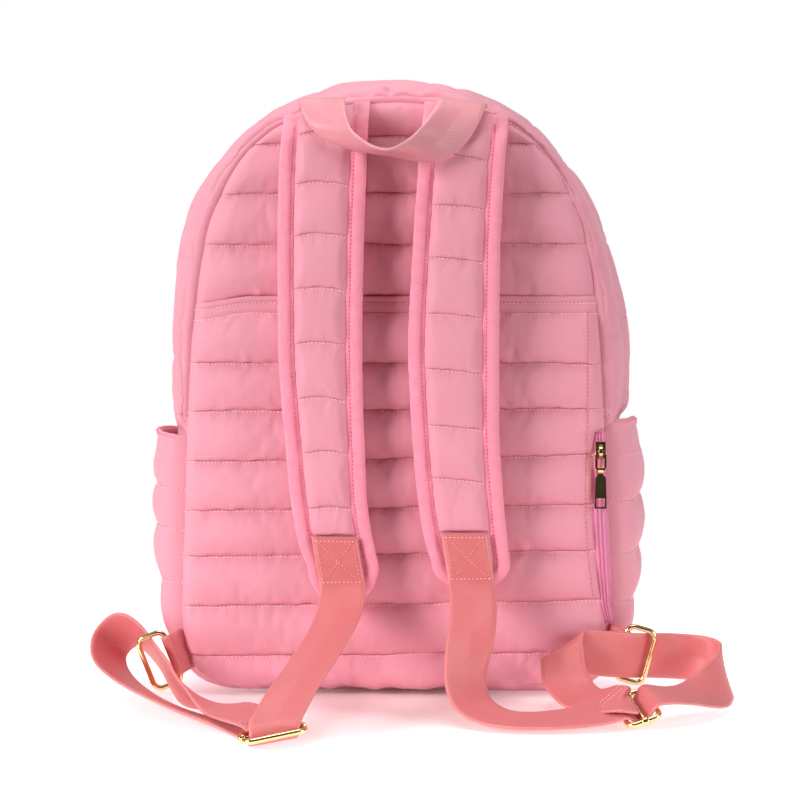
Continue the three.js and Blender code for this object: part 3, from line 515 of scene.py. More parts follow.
steps = np.hypot(*np.diff(OUTLINE, axis=0).T)
lengths = np.concatenate([[0], np.cumsum(steps)])
HALF_LENGTH = lengths[-1]
half_along = curve(lengths, OUTLINE[:, 0])
height_along = curve(lengths, OUTLINE[:, 1])
FLAT_LENGTH = lengths[FLAT_ROW]
length_at = curve(OUTLINE[FLAT_ROW:, 1], lengths[FLAT_ROW:])
high_rows = OUTLINE[HIGH_ROW:][::-1]
high_edge = curve(high_rows[:, 0], high_rows[:, 1])
print("outline:", round(2 * HALF_LENGTH), "mm round the back seam")


def half_at(z):
    return half_along(length_at(z))


# %% [markdown]
# ## Places on a panel
# A panel is a grid of shares across and heights up. The rows run level until the round top, where
# they start to follow the seam above them. The filled bag pushes both panels out into a shallow dome.

# %% Places on a panel
BACK_DOME = 8.0
FRONT_DOME = 15.0
DOME_ROUND = 0.6                # below 1 the dome is flatter in its middle


def panel_place(s, z, half_right=half_at):
    """x and z for a share s from -1 to 1 across the panel, with rows that follow its round top."""
    s, z = np.broadcast_arrays(np.asarray(s, float), np.asarray(z, float))
    level = np.minimum(z, HIGH_CORNER_Z)
    x = s * np.where(s > 0, half_right(level), half_at(level))
    high = high_edge(np.abs(x))
    above = HIGH_CORNER_Z + (high - HIGH_CORNER_Z) * (z - HIGH_CORNER_Z) / (TOP_Z - HIGH_CORNER_Z)
    return x, np.where(z > HIGH_CORNER_Z, above, z)


def rise(z):
    """How far the panel's dome has risen at this height, from 0 to 1."""
    share = np.clip((z - BASE_Z) / (TOP_Z - BASE_Z), 0, 1)
    return np.abs(np.sin(np.pi * share)) ** DOME_ROUND


def back_base(s, z):
    return BACK_Y - BACK_DOME * (1 - s * s) * rise(z)


def front_base(s, z):
    return FRONT_Y + FRONT_DOME * (1 - s * s) * rise(z)


print("half width at mid height:", round(float(half_at(200.0)), 1), "mm")

# %% [markdown]
# ## Quilting
# On the real bag two layers of nylon are sewn together in level rows, and the wadding between the
# rows swells into soft channels. The rows gather the cloth a little, so short puckers run away from
# every seam. The sheet starts with shallow channels. Then Blender's Cloth holds the sewn rows still
# and presses the rest outwards, with a little spare cloth that has to fold somewhere.

# %% Quilt rows
GRID = 2.6                      # spacing of a sheet's points
PUCKER = 0.42                   # height of the gathers beside a seam
PUCKER_REACH = 3.0              # they are highest this far from the seam
FINE_PITCH = 4.2                # spacing of the fine gathers along a seam
LEAN_PITCH = 8.0                # and of the larger ones
LEAN = 0.7                      # which lean by this share of their distance from the seam
FOLD_PITCH = 38.0               # spacing of the long folds in a channel
FOLD = 0.7                      # and their height
WANDER = 1.1                    # a sewn row strays from its level by up to about this much
WANDER_PITCH = (42.0, 11.0)     # in slow and in quick waves
WANDER_QUICK = 0.4              # the quick ones are smaller
ROW_PITCH = 34.0                # rows this far apart stray on their own
SAG = 1.0                       # a channel sinks over the seam below it by this much
SAG_REACH = 3.0
FAR_FROM_SEAM = 40.0            # where a sheet is plain, no seam is nearer than this
EDGE_DIP = 3.5                  # a panel dips into its border seam over this distance


class Quilt:
    """The rows of a quilted sheet: height, share t of the channel, and distance to the nearest seam."""

    def __init__(self, seams, spacing=GRID):
        parts = []
        for channel, (low, high) in enumerate(zip(seams, seams[1:])):
            count = max(4, round((high - low) / spacing))
            share = (1 - np.cos(np.pi * np.arange(count) / count)) / 2
            tall = high - low
            columns = [low + tall * share, share, np.full(count, channel), np.full(count, tall)]
            parts.append(np.stack(columns))
        last = np.array([[seams[-1]], [1.0], [len(seams) - 2], [seams[-1] - seams[-2]]])
        self.z, self.t, self.channel, self.tall = np.concatenate([*parts, last], axis=1)[:, :, None]
        self.away = np.minimum(self.t, 1 - self.t) * self.tall
        self.sewn = self.away < 1e-6
        self.puff = np.sin(np.pi * self.t**0.75).clip(0) ** 0.6

    def gathers(self, along, seed):
        """Puckers beside the seams, along the seams' own direction in millimetres."""
        side = np.where(self.t < 0.5, self.channel, self.channel + 1)
        near = self.away / PUCKER_REACH * np.exp(1 - self.away / PUCKER_REACH)
        fine = ripple(along / FINE_PITCH, side * 3.7 + self.away / 30, seed)
        leaning = ripple((along + LEAN * self.away) / LEAN_PITCH, side * 5.3, seed + 20)
        return PUCKER * near * (0.7 * fine + 5.0 * (leaning - 0.15).clip(0))

    def folds(self, along, seed):
        """Long shallow folds in the middle of the channels."""
        wave = ripple(along / FOLD_PITCH + self.z / 70, self.channel * 2.9 + self.t, seed)
        return self.puff * (wave * FOLD)

    def wander(self, along, seed):
        """How far each row strays up or down."""
        slow = ripple(along / WANDER_PITCH[0], self.z / ROW_PITCH, seed)
        quick = ripple(along / WANDER_PITCH[1], self.z / ROW_PITCH, seed + 9)
        return WANDER * (slow + WANDER_QUICK * quick)

    def sag(self):
        """How far the filling sinks over the seam below it."""
        above = self.t * self.tall / SAG_REACH
        return SAG * above * np.exp(1 - above)


def bulge_across(s):
    return np.sqrt(np.clip(1 - np.abs(s) ** 12, 0, 1))


def border_dip(away, deep):
    """How far a panel's face sinks towards the seam round its border."""
    return deep * np.exp(-((away / EDGE_DIP).clip(0) ** 2))


print("quilting: points every", GRID, "mm")

# %% [markdown]
# ## Cloth
# Every quilted sheet goes through the same short simulation. Its seams are pinned by a vertex group,
# pressure swells the rest, and a negative shrink gives the spare cloth. The settled grid is read back
# and the trial object is thrown away, so only plain meshes are left in the scene.

# %% Cloth
FRAMES = 20
CLOTH_STEPS = 6
PRESSURE = 6.0
SPARE = 0.012                   # share of spare cloth that the rows gather in
SWELL = 3.0                     # no point moves further than this
CLOTH_MASS = 0.02
STIFFNESS = 8.0
BENDING = 0.02
BAG_MIDDLE = np.array([0, 0, 200.0])


def puff_up(grid, sewn, pressure, spare, limit):
    """Swells a sheet between its sewn points and returns its new grid."""
    rows, cols = grid.shape[:2]
    faces = grid_faces(rows, cols)
    corner = grid.reshape(-1, 3)[faces]
    normal = np.cross(corner[:, 1] - corner[:, 0], corner[:, 3] - corner[:, 0]).sum(axis=0)
    if normal @ (grid.reshape(-1, 3).mean(axis=0) - BAG_MIDDLE) < 0:
        faces = faces[:, ::-1]
    mesh = bpy.data.meshes.new("trial")
    mesh.from_pydata((grid.reshape(-1, 3) * MM).tolist(), [], faces.tolist())
    trial = bpy.data.objects.new("trial", mesh)
    scene.collection.objects.link(trial)
    pinned = trial.vertex_groups.new(name="sewn")
    pinned.add([int(i) for i in np.flatnonzero(sewn.ravel())], 1.0, "REPLACE")
    cloth = trial.modifiers.new("cloth", "CLOTH")
    cloth.settings.quality = CLOTH_STEPS
    cloth.settings.mass = CLOTH_MASS
    cloth.settings.tension_stiffness = STIFFNESS
    cloth.settings.compression_stiffness = STIFFNESS
    cloth.settings.shear_stiffness = STIFFNESS / 3
    cloth.settings.bending_stiffness = BENDING
    cloth.settings.vertex_group_mass = "sewn"
    cloth.settings.use_pressure = True
    cloth.settings.uniform_pressure_force = pressure
    cloth.settings.shrink_min = -spare
    cloth.settings.effector_weights.gravity = 0
    cloth.collision_settings.use_collision = False
    cloth.point_cache.frame_start = 1
    cloth.point_cache.frame_end = FRAMES
    for number in range(1, FRAMES + 1):
        scene.frame_set(number)
    settled = trial.evaluated_get(bpy.context.evaluated_depsgraph_get()).to_mesh()
    places = np.zeros(len(settled.vertices) * 3)
    settled.vertices.foreach_get("co", places)
    bpy.data.objects.remove(trial)
    scene.frame_set(1)
    move = places.reshape(grid.shape) / MM - grid
    size = np.linalg.norm(move, axis=2, keepdims=True)
    print("swelled by", round(float(size.mean()), 2), "mm, at most", round(float(size.max()), 2))
    return grid + move * np.minimum(1, limit / np.maximum(size, 1e-9))


print("cloth:", FRAMES, "frames for each sheet")

# %% [markdown]
# ## Back panel and sleeve
# The upper back is quilted. A second quilted layer, the sleeve, is sewn over the lower back and ends
# in a flat hem with two rows of stitches. On its right edge the sleeve makes room for a short zip.
# Each sewn row is kept as a line for the stitches, which come later.

# %% Side zip line
SIDE_ZIP = np.array([
    # height, left edge and right edge of the tape
    (50, 148.5, 149.8), (58, 146.6, 150), (74, 143.6, 150), (100, 140.3, 149.3), (133, 138.6, 147.8),
    (160, 138.6, 147), (184, 139.6, 146),
])
ZIP_LOW, ZIP_HIGH = SIDE_ZIP[0, 0], SIDE_ZIP[-1, 0]
zip_left = curve(SIDE_ZIP[:, 0], SIDE_ZIP[:, 1])
zip_right = curve(SIDE_ZIP[:, 0], SIDE_ZIP[:, 2])
quilt_stitches = []             # lines that the quilting thread follows
trim_stitches = []              # lines that the trimming thread follows
hot_stitches = []               # lines in the brighter thread of the bindings
tone_stitches = []              # lines in thread of the webbing's own colour
BELOW_SEAM = 1.0                # the thread shows just below the crease
STITCH_LIFT = (0, -0.3, 0)
ZIP_CLEAR = 0.6                 # the sleeve keeps this far from the zip
EASE_LOW = (-6.0, 6.0)          # and makes room for it over this height at its lower end
EASE_HIGH = (-1.0, 2.0)         # and at its upper end


def sleeve_right(z):
    """Right edge of the sleeve, eased back beside the zip."""
    low = (z - ZIP_LOW - EASE_LOW[0]) / (EASE_LOW[1] - EASE_LOW[0])
    high = (ZIP_HIGH + EASE_HIGH[1] - z) / (EASE_HIGH[1] - EASE_HIGH[0])
    ease = np.clip(low, 0, 1) * np.clip(high, 0, 1)
    cut = np.minimum(half_at(z), zip_left(z) - ZIP_CLEAR)
    return half_at(z) + (cut - half_at(z)) * ease


def seam_lines(grid, quilt, lift):
    """Lines for the thread, just below each sewn row and a little proud of the cloth."""
    heights = quilt.z[:, 0]
    lines = []
    for row in np.flatnonzero(quilt.sewn[:, 0])[1:-1]:
        below = row - 1 - int(heights[row] - heights[row - 1] < BELOW_SEAM)
        share = min(1.0, BELOW_SEAM / (heights[row] - heights[below]))
        lines.append(grid[row] + (grid[below] - grid[row]) * share + np.array(lift))
    return lines


print("side zip from", ZIP_LOW, "to", ZIP_HIGH, "mm up")

# %% Back panel
UPPER_SEAMS = [280, 317, 352, 386, 408]
HEM_DROP = 5.0                  # the sleeve's hem is pulled down at its left end
HEM_LEFT = (0.7, 1.0)           # over these shares of the half width
HEM_UPPER = (280.0, 312.0)      # the rows above it follow, up to here
UPPER_PUFF = 5.5
TOP_PUFF = 3.5                  # the channel above the round corners holds less
BACK_COLUMNS = 128
BACK_REACH = 140.0              # half the width of a row, for its noise
PLAIN_ROWS = 30                 # behind the sleeve
quilt = Quilt(UPPER_SEAMS)
s = np.linspace(-1, 1, BACK_COLUMNS)[None, :]
calm = quilt.z < HIGH_CORNER_Z - 1
x, z = panel_place(s, quilt.z + (quilt.wander(s * BACK_REACH, 1.0) - quilt.sag()) * calm)
z = z - HEM_DROP * smooth_step(-s, *HEM_LEFT) * (1 - smooth_step(quilt.z, *HEM_UPPER))
full = np.where(quilt.z > HIGH_CORNER_Z, TOP_PUFF, UPPER_PUFF)
raised = full * quilt.puff * bulge_across(s) + quilt.gathers(x, 2.0) + quilt.folds(x, 3.0)
border = np.minimum(half_at(np.minimum(quilt.z, HIGH_CORNER_Z)) - np.abs(x), TOP_Z - quilt.z)
y = back_base(s, quilt.z) - CLOTH - raised + border_dip(border, CLOTH - GAP)
outer = np.stack([x, y, z], axis=2)
sewn = np.broadcast_to(quilt.sewn, x.shape).copy()
sewn[:, [0, -1]] = True
lower = int(np.flatnonzero(quilt.z[:, 0] >= HIGH_CORNER_Z)[0]) + 1
outer[:lower] = puff_up(outer[:lower], sewn[:lower], PRESSURE, SPARE, SWELL)
quilt_stitches += seam_lines(outer, quilt, STITCH_LIFT)
plain = np.linspace(BASE_Z + 2, UPPER_SEAMS[0], PLAIN_ROWS)[:-1, None]
plain_x, plain_z = panel_place(s, plain)
plain_y = back_base(s, plain) - CLOTH + border_dip(half_at(plain) - np.abs(plain_x), CLOTH - GAP)
outer = np.concatenate([np.stack([plain_x, plain_y, plain_z], axis=2), outer])
base = back_base(s, np.concatenate([plain, quilt.z]))
inner = np.stack([outer[:, :, 0], base, outer[:, :, 2]], axis=2)
away = np.concatenate([np.full_like(plain, FAR_FROM_SEAM), quilt.away])
piece = wall("back_panel_quilted", outer, inner, SHELL, (outer[:, :, 0], outer[:, :, 2]), away)
finish_piece(piece, "back_panel", slot="shell")

# %% Sleeve
SLEEVE_SEAMS = [5, 30, 66, 101, 133.5, 168, 202, 234.5, 269.5, 277, 281]
SLEEVE_PUFF = 6.0
HEM = 3.0                       # thickness of the hem
HEM_START = 269.0
HEM_LOWER = (245.0, 270.0)      # the rows below it follow its left end, from here
HEM_PUFF = 0.16                 # it is almost flat
SLEEVE_COLUMNS = 132
SLEEVE_REACH = 150.0
ROW_TILT = 3.2                  # the rows below the hem rise to the right by this much on each half
TILT_LOW = (5.0, 40.0)          # and it sets in and fades out over these heights
TILT_HIGH = (170.0, 225.0)
BOTTOM_GATHER = 2.4             # the lowest channel is gathered more than the rest
BOTTOM_WAVE = 2.6               # its lower edge is uneven
BOTTOM_PITCH = 15.0
BOTTOM_FOLD = 7.0               # and slanted folds run up from it
SLANT = 1.3
SLANT_PITCH = 17.0
SLEEVE_DIP = (4.6, 2.4)         # the outer and the inner face sink this far into the border seam
ZIP_BORDER = 5.5                # the sleeve is topstitched this far from the side zip
BORDER_START = 20.0             # from this far above the zip's lower end
quilt = Quilt(SLEEVE_SEAMS)
s = np.linspace(-1, 1, SLEEVE_COLUMNS)[None, :]
hem = quilt.z > HEM_START
x, z = panel_place(s, quilt.z + (quilt.wander(s * SLEEVE_REACH, 4.0) - quilt.sag()) * ~hem, sleeve_right)
z = z - HEM_DROP * smooth_step(-s, *HEM_LEFT) * smooth_step(quilt.z, *HEM_LOWER)
z = z + ROW_TILT * s * smooth_step(quilt.z, *TILT_LOW) * (1 - smooth_step(quilt.z, *TILT_HIGH))
lowest = quilt.channel == 0
low_share = np.where(lowest, 1 - quilt.t, 0)
z = z + low_share**2 * BOTTOM_WAVE * ripple(x / BOTTOM_PITCH, 0 * x, 6.5)
plump = np.where(hem, HEM_PUFF, 1.0)
drawn = np.where(lowest, BOTTOM_GATHER, 1.0)
slanted = ripple((x + SLANT * z) / SLANT_PITCH, 0.4 * z / SLANT_PITCH, 5.5)
slanted = (slanted - 0.1).clip(0) * low_share**0.5
raised = quilt.puff * bulge_across(s) * SLEEVE_PUFF - BOTTOM_FOLD * slanted * quilt.puff
raised = plump * (raised + drawn * quilt.gathers(x, 5.0) + quilt.folds(x, 6.0))
share = x / half_at(quilt.z)
border = np.minimum(half_at(quilt.z) - np.abs(x), quilt.z - SLEEVE_SEAMS[0])
y = back_base(share, quilt.z) - CLOTH - GAP
outer = np.stack([x, y - HEM - raised + border_dip(border, SLEEVE_DIP[0]), z], axis=2)
sewn = np.broadcast_to(quilt.sewn | hem, x.shape).copy()
sewn[:, [0, -1]] = True
outer = puff_up(outer, sewn, PRESSURE, SPARE, SWELL)
inner = np.stack([x, y + border_dip(border, SLEEVE_DIP[1]), z], axis=2)
quilt_stitches += seam_lines(outer, quilt, STITCH_LIFT)
beside_zip = []
for row, height in zip(outer, quilt.z[:, 0]):
    if ZIP_LOW + BORDER_START < height < HEM_START:
        place = np.interp(height, SIDE_ZIP[:, 0], SIDE_ZIP[:, 1]) - ZIP_BORDER
        beside_zip.append([np.interp(place, row[:, 0], row[:, axis]) for axis in range(3)])
hot_stitches.append(np.array(beside_zip) + STITCH_LIFT)
away = np.where(hem, FAR_FROM_SEAM, quilt.away)
piece = wall("back_sleeve_quilted", outer, inner, SHELL, (x, z), away)
finish_piece(piece, "back_sleeve", slot="shell")

# %% [markdown]
# ## Front panel
# The far side of the bag isn't in the picture, so it is finished in the plainest way that fits the
# rest: the same quilting, over an outline that is a little larger.

# %% Front panel
FRONT_SEAMS = [6, 30, 66, 101, 133.5, 168, 202, 234.5, 269.5, 303, 337, 372, 408]
FRONT_PUFF = 7.0
FRONT_GRID = 3.4
FRONT_COLUMNS = 96
FRONT_CALM = 20.0               # no row strays below this height


def to_front(x, z):
    """A place of the back outline on the larger front outline."""
    return x * (1 + FRONT_GROW / WIDEST), BASE_Z + (z - BASE_Z) * (1 + FRONT_GROW / (TOP_Z - BASE_Z))


quilt = Quilt(FRONT_SEAMS, FRONT_GRID)
s = np.linspace(-1, 1, FRONT_COLUMNS)[None, :]
calm = (quilt.z < HIGH_CORNER_Z - 1) & (quilt.z > FRONT_CALM)
x, z = to_front(*panel_place(s, quilt.z + (quilt.wander(s * SLEEVE_REACH, 7.0) - quilt.sag()) * calm))
raised = FRONT_PUFF * quilt.puff * bulge_across(s) + quilt.gathers(x, 8.0) + quilt.folds(x, 9.0)
y = front_base(s, quilt.z)
outer = np.stack([x, y + CLOTH + raised, z], axis=2)
sewn = np.broadcast_to(quilt.sewn, x.shape).copy()
sewn[:, [0, -1]] = True
lower = int(np.flatnonzero(quilt.z[:, 0] >= FRONT_SEAMS[-2])[0]) + 1
outer[:lower] = puff_up(outer[:lower], sewn[:lower], PRESSURE, SPARE, SWELL)
inner = np.stack([x, y + np.zeros_like(x), z], axis=2)
quilt_stitches += seam_lines(outer, quilt, np.array(STITCH_LIFT) * (1, -1, 1))
piece = wall("front_panel_quilted", outer, inner, SHELL, (x, z), quilt.away)
finish_piece(piece, "front_panel", slot="shell")

# %% [markdown]
# ## Gusset
# The gusset is the wall between the back seam and the front seam. Over the top it is two puffed
# strips with the main zip sunk between them, and below the zip's ends it is one plain strip that
# goes under the bag. A place on it is a side, a length along the seam and a share v of the depth.
# A second table slims the strips on the bag's round shoulders, where the left one is the fuller.

# %% Gusset places
ARCH_BULGE = np.array([
    # share of the depth, how far the cloth stands out
    (0, 0), (0.03, 6), (0.06, 10.5), (0.1, 13), (0.16, 15), (0.24, 16.5), (0.32, 17), (0.38, 15),
    (0.42, 10.5), (0.54, 10.5), (0.58, 16), (0.66, 22), (0.76, 25), (0.88, 20), (0.95, 12), (1, 0),
])
arch_bulge = curve(ARCH_BULGE[:, 0], ARCH_BULGE[:, 1])
zip_end_length = length_at(ZIP_END_Z)
ARCH_LENGTH = HALF_LENGTH - zip_end_length
END_SHARE = 0.7                 # share of the bulge that is left at the zip's ends
PUFF_END = 120.0                # and over this length from there it grows to the whole
ROLL = 8.0                      # beside the back seam the cloth rolls forwards, by less than this
ROLL_REACH = 9.0
ROLL_START = 40.0               # the roll sets in over this length from the flat bottom


def gusset_place(side, length, v, bulge, rolled=1.0):
    """A place on the gusset that stands out from the straight line between the seams."""
    x, z = half_along(length), height_along(length)
    before, after = np.maximum(0, length - 1), np.minimum(HALF_LENGTH, length + 1)
    dx = half_along(after) - half_along(before)
    dz = height_along(after) - height_along(before)
    size = np.hypot(dx, dz)
    front_x, front_z = to_front(x, z)
    px = x + (front_x - x) * v + bulge * dz / size
    pz = z + (front_z - z) * v - bulge * dx / size
    deep = (FRONT_Y - BACK_Y - 2 * GAP) * v
    start = np.clip((length - FLAT_LENGTH) / ROLL_START, 0, 1)
    roll = start * deep / ROLL_REACH * np.exp(1 - deep / ROLL_REACH)
    y = BACK_Y + GAP + deep - ROLL * rolled * roll
    return np.stack(np.broadcast_arrays(side * px, y, pz), axis=-1)


SHOULDERS = np.array([
    # distance along the seam from the middle of the top, share of the bulge on the left and on the right
    (0, 1, 1), (40, 0.96, 0.9), (60, 0.8, 0.65), (80, 0.64, 0.42), (100, 0.66, 0.3), (120, 0.68, 0.23),
    (140, 0.82, 0.32), (160, 0.92, 0.42), (180, 0.96, 0.52), (200, 1, 0.64), (220, 1, 0.79), (240, 1, 0.92),
    (260, 1, 1), (400, 1, 1),
])
left_shoulder = curve(SHOULDERS[:, 0], SHOULDERS[:, 1])
right_shoulder = curve(SHOULDERS[:, 0], SHOULDERS[:, 2])


def strip_share(side, length):
    """The puffed strips slim down on the round shoulders and towards the zip's ends."""
    away = np.clip((length - zip_end_length) / PUFF_END, 0, 1)
    top = HALF_LENGTH - length
    shoulder = np.where(side > 0, right_shoulder(top), left_shoulder(top))
    return (END_SHARE + (1 - END_SHARE) * away) * shoulder


print("main zip runs", round(2 * float(ARCH_LENGTH)), "mm over the top")

# %% Puffed strips
TOP_PINCH = -3.5                # the back strip is gathered in one tuck here, beside the middle
STRIP_PRESSURE = 3.0
STRIP_SPARE = 0.014
STRIP_LIMIT = 2.5
STRIP_PUCKER = 0.35
TUCK = 2.2                      # depth of the tuck
TUCK_WIDTH = 2.4
TUCK_LIPS = (7.0, 4.0)          # distance and width of the two lips beside it
TOP_SLIM = 0.4                  # the back strip is slimmer over the raised seam
TOP_SLIM_REACH = 80.0
ZIP_SLOT = (0.42, 0.54)         # the zip is sunk between these shares of the depth
SEAM_COLUMN = 2                 # the back strip is topstitched along this column of its points
SEAM_LIFT = (0, -0.6, 0)
STRIPS = [
    # piece, solid, shares of the depth, columns, seed, tucked or not, pace of the columns, creases
    ("gusset_strip_back", "gusset_top_back", (0.0, ZIP_SLOT[0]), 28, 11.0, 1.0, 1.5, 3.2),
    ("gusset_strip_front", "gusset_top_front", (ZIP_SLOT[1], 1.0), 26, 13.0, 0.0, 1.0, 0.5),
]


def arch(low, high, across, along=250, pace=1.0):
    """Side, length along the seam, depth and distance from the top of a strip over the bag."""
    turn = np.linspace(-1, 1, along)[:, None]
    v = low + (high - low) * np.linspace(0, 1, across)[None, :] ** pace
    side = np.where(turn < 0, -1.0, 1.0)
    length = HALF_LENGTH - ARCH_LENGTH * np.abs(turn)
    return side, length, v, turn * ARCH_LENGTH


def puffed_strip(name, low, high, across, seed, pinch, pace, crease):
    """One strip beside the zip, and the grid of its outer face."""
    side, length, v, along = arch(low, high, across, pace=pace)
    share = (v - low) / (high - low)
    wide = (high - low) * (FRONT_Y - BACK_Y)
    away = np.minimum(share, 1 - share) * wide
    near = away / PUCKER_REACH * np.exp(1 - away / PUCKER_REACH)
    crumple = STRIP_PUCKER * near * ripple(along / 4.6, v * 9, seed)
    crumple = crumple + np.sin(np.pi * share) * ripple(along / 24 + share, share * 1.7, seed + 1)
    creases = (ripple((along + 5 * share) / 7, share * 0.8, seed + 2) - 0.2).clip(0)
    crumple = crumple - crease * creases * np.sin(np.pi * share) ** 0.6
    tuck = np.exp(-(((along - TOP_PINCH) / TUCK_WIDTH) ** 2)) * TUCK
    lips = np.exp(-(((np.abs(along - TOP_PINCH) - TUCK_LIPS[0]) / TUCK_LIPS[1]) ** 2)) * TUCK / 2
    crumple = crumple + pinch * (lips - tuck) * (1 - share) ** 0.7 * np.minimum(1, away / 2)
    slim = 1 - pinch * TOP_SLIM * (1 - share) * np.exp(-((along / TOP_SLIM_REACH) ** 2))
    bulge = arch_bulge(v) * strip_share(side, length) * slim
    outer = gusset_place(side, length, v, bulge + crumple)
    sewn = np.zeros(outer.shape[:2], bool)
    sewn[[0, -1]] = True
    sewn[:, [0, -1]] = True
    outer = puff_up(outer, sewn, STRIP_PRESSURE, STRIP_SPARE, STRIP_LIMIT)
    inner = gusset_place(side, length, v, bulge - CLOTH)
    return wall(name, outer, inner, SHELL, (along, v * (FRONT_Y - BACK_Y)), away), outer


for name, node, depths, across, seed, pinch, pace, crease in STRIPS:
    strip, sheet = puffed_strip(name, *depths, across, seed, pinch, pace, crease)
    finish_piece(strip, node, slot="shell")
    if pinch:
        trim_stitches.append(sheet[3:-3, SEAM_COLUMN] + np.array(SEAM_LIFT))

# %% [markdown]
# ## Lower gusset
# The wall under the bag and up both sides is one strip of plain cloth. It is flat where the bag
# stands, bulges a little on the sides, and swells above the pockets to meet the puffed strips.

# %% Lower gusset
SIDE_BULGE = 8.0
EDGE_SHARE = 0.12               # the bulge rises over this share of the depth from each seam
SWELL_FROM = 184.0              # the sides swell above this height
CORNER_TOP = 60.0               # the bottom corners end at this height
UNDER_ROWS, UNDER_COLUMNS = 260, 41
UNDER_PACE = 1.2                # the columns stand closer together beside the back seam
UNDER_CRUMPLE = 0.9
UNDER_PITCH = 18.0
CRUMPLE_START = 30.0            # the cloth crumples from this far up round the corner
corner_end = length_at(CORNER_TOP)


def lower_bulge(length, v):
    share = np.clip((length - FLAT_LENGTH) / (corner_end - FLAT_LENGTH), 0, 1)
    return (BASE_Z + (SIDE_BULGE - BASE_Z) * share) * np.minimum(1, np.minimum(v, 1 - v) / EDGE_SHARE)


def swelled(length):
    """The sides swell from the pockets' mouths up to the puffed strips."""
    return smooth_step(length, length_at(SWELL_FROM), zip_end_length)


def side_bulge(length, v):
    plain = lower_bulge(length, v)
    full = np.maximum(plain, arch_bulge(v) * END_SHARE)
    return plain + (full - plain) * swelled(length)


turn = np.linspace(-1, 1, UNDER_ROWS)[:, None]
v = np.linspace(0, 1, UNDER_COLUMNS)[None, :] ** UNDER_PACE
side = np.where(turn < 0, -1.0, 1.0)
length = np.abs(turn) * zip_end_length
along = turn * zip_end_length
up_the_side = np.clip((length - FLAT_LENGTH) / CRUMPLE_START, 0, 1)
crumple = up_the_side * np.sin(np.pi * v) * UNDER_CRUMPLE * ripple(along / UNDER_PITCH, v * 4, 17.0)
bulge = side_bulge(length, v)
outer = gusset_place(side, length, v, bulge + crumple, swelled(length))
inner = gusset_place(side, length, v, bulge - CLOTH, swelled(length))
piece = wall("gusset_under_and_sides", outer, inner, SHELL)
lower_gusset = finish_piece(piece, "gusset_lower", slot="shell")

# %% [markdown]
# ## Side pockets
# Each pocket is a quilted sheet that stands off the gusset, with a gathered binding round its mouth.
# The mouth droops unevenly, so each pocket has a curve for it, and one for how far it stands off.

# %% Pockets
POCKET_DEPTHS = (0.006, 0.95)   # shares of the gusset's depth that a pocket covers
POCKET_PUFF = 4.0
POCKET_WIDTH = 110.0            # about, for the noise along a row
POCKET_COLUMNS = 48
POCKET_GRIP = 3                 # so many columns at each edge are held still
POCKET_CALM = 25.0              # no row strays below this height
POCKET_BINDING = 7.0            # height of the rim
RIM_OVERLAP = 1.4               # of which this much covers the pocket
RIM_OUT = 1.9                   # its middle stands this far out
RIM_THICK = 2.0
RIM_WAVE = (0.5, 3.4)           # height and spacing of the gathers along it
RIM_LUMPS = (0.35, 2.6)         # and of the lumps in its thickness
RIM_STITCH = 1.6                # it is sewn this far above its middle
RIM_ROWS, RIM_SIDES = 90, 14
RIM_END = 0.15                  # share of the rim's thickness that is left at the seam
POCKET_EDGE = 0.05              # over this share of its width the pocket thins towards the seam
POCKET_TUCK = 0.6               # and there it is drawn in by this much
MOUTH_TAPER = 15.5              # the filling runs out below the mouth
POCKET_ROLL = 0.5               # a pocket rolls less over the back seam than the gusset
DROOP_FROM = 130.0              # the mouth droops, and the rows above this height follow it
POCKETS = [
    {
        "name": "left", "side": -1.0, "topstitch": None, "seed": 21.0,
        "seams": [20, 40, 79, 116, 146, 180],
        "stand": curve([20, 40, 79, 115, 146, 162, 180, 190], [0.3, 0.8, 6, 11.5, 12.6, 12, 14.5, 15]),
        "droop": curve([0, 0.25, 0.5, 0.75, 1], [3, 1, 3.5, 5, 8]),
    },
    {
        "name": "right", "side": 1.0, "topstitch": 170.0, "seed": 31.0,
        "seams": [20, 32, 66, 100, 137, 187],
        "stand": curve([20, 38, 66, 100, 137, 165, 187, 200], [0.3, 0.5, 4.9, 9.2, 11.5, 10.5, 11, 11]),
        "droop": curve([0, 0.25, 0.5, 0.75, 1], [-2, -1, 2, 8, 10]),
    },
]


def pocket_edge(a):
    """Rises from 0 at the back seam to 1 a little way in."""
    return np.clip(a / POCKET_EDGE, 0, 1) ** 0.5


def pocket_place(pocket, z, a, out):
    """A share a of the pocket's width, standing out from the gusset."""
    v = POCKET_DEPTHS[0] + (POCKET_DEPTHS[1] - POCKET_DEPTHS[0]) * a
    z = z - pocket["droop"](a) * smooth_step(z, DROOP_FROM, pocket["seams"][-1])
    length = length_at(z)
    swell = np.sin(np.pi * a).clip(0) ** 0.55
    tucked = GAP * pocket_edge(a) - POCKET_TUCK * (1 - pocket_edge(a))
    bulge = lower_bulge(length, v) + tucked + pocket["stand"](z) * swell + out
    return gusset_place(pocket["side"], length, v, bulge, POCKET_ROLL)


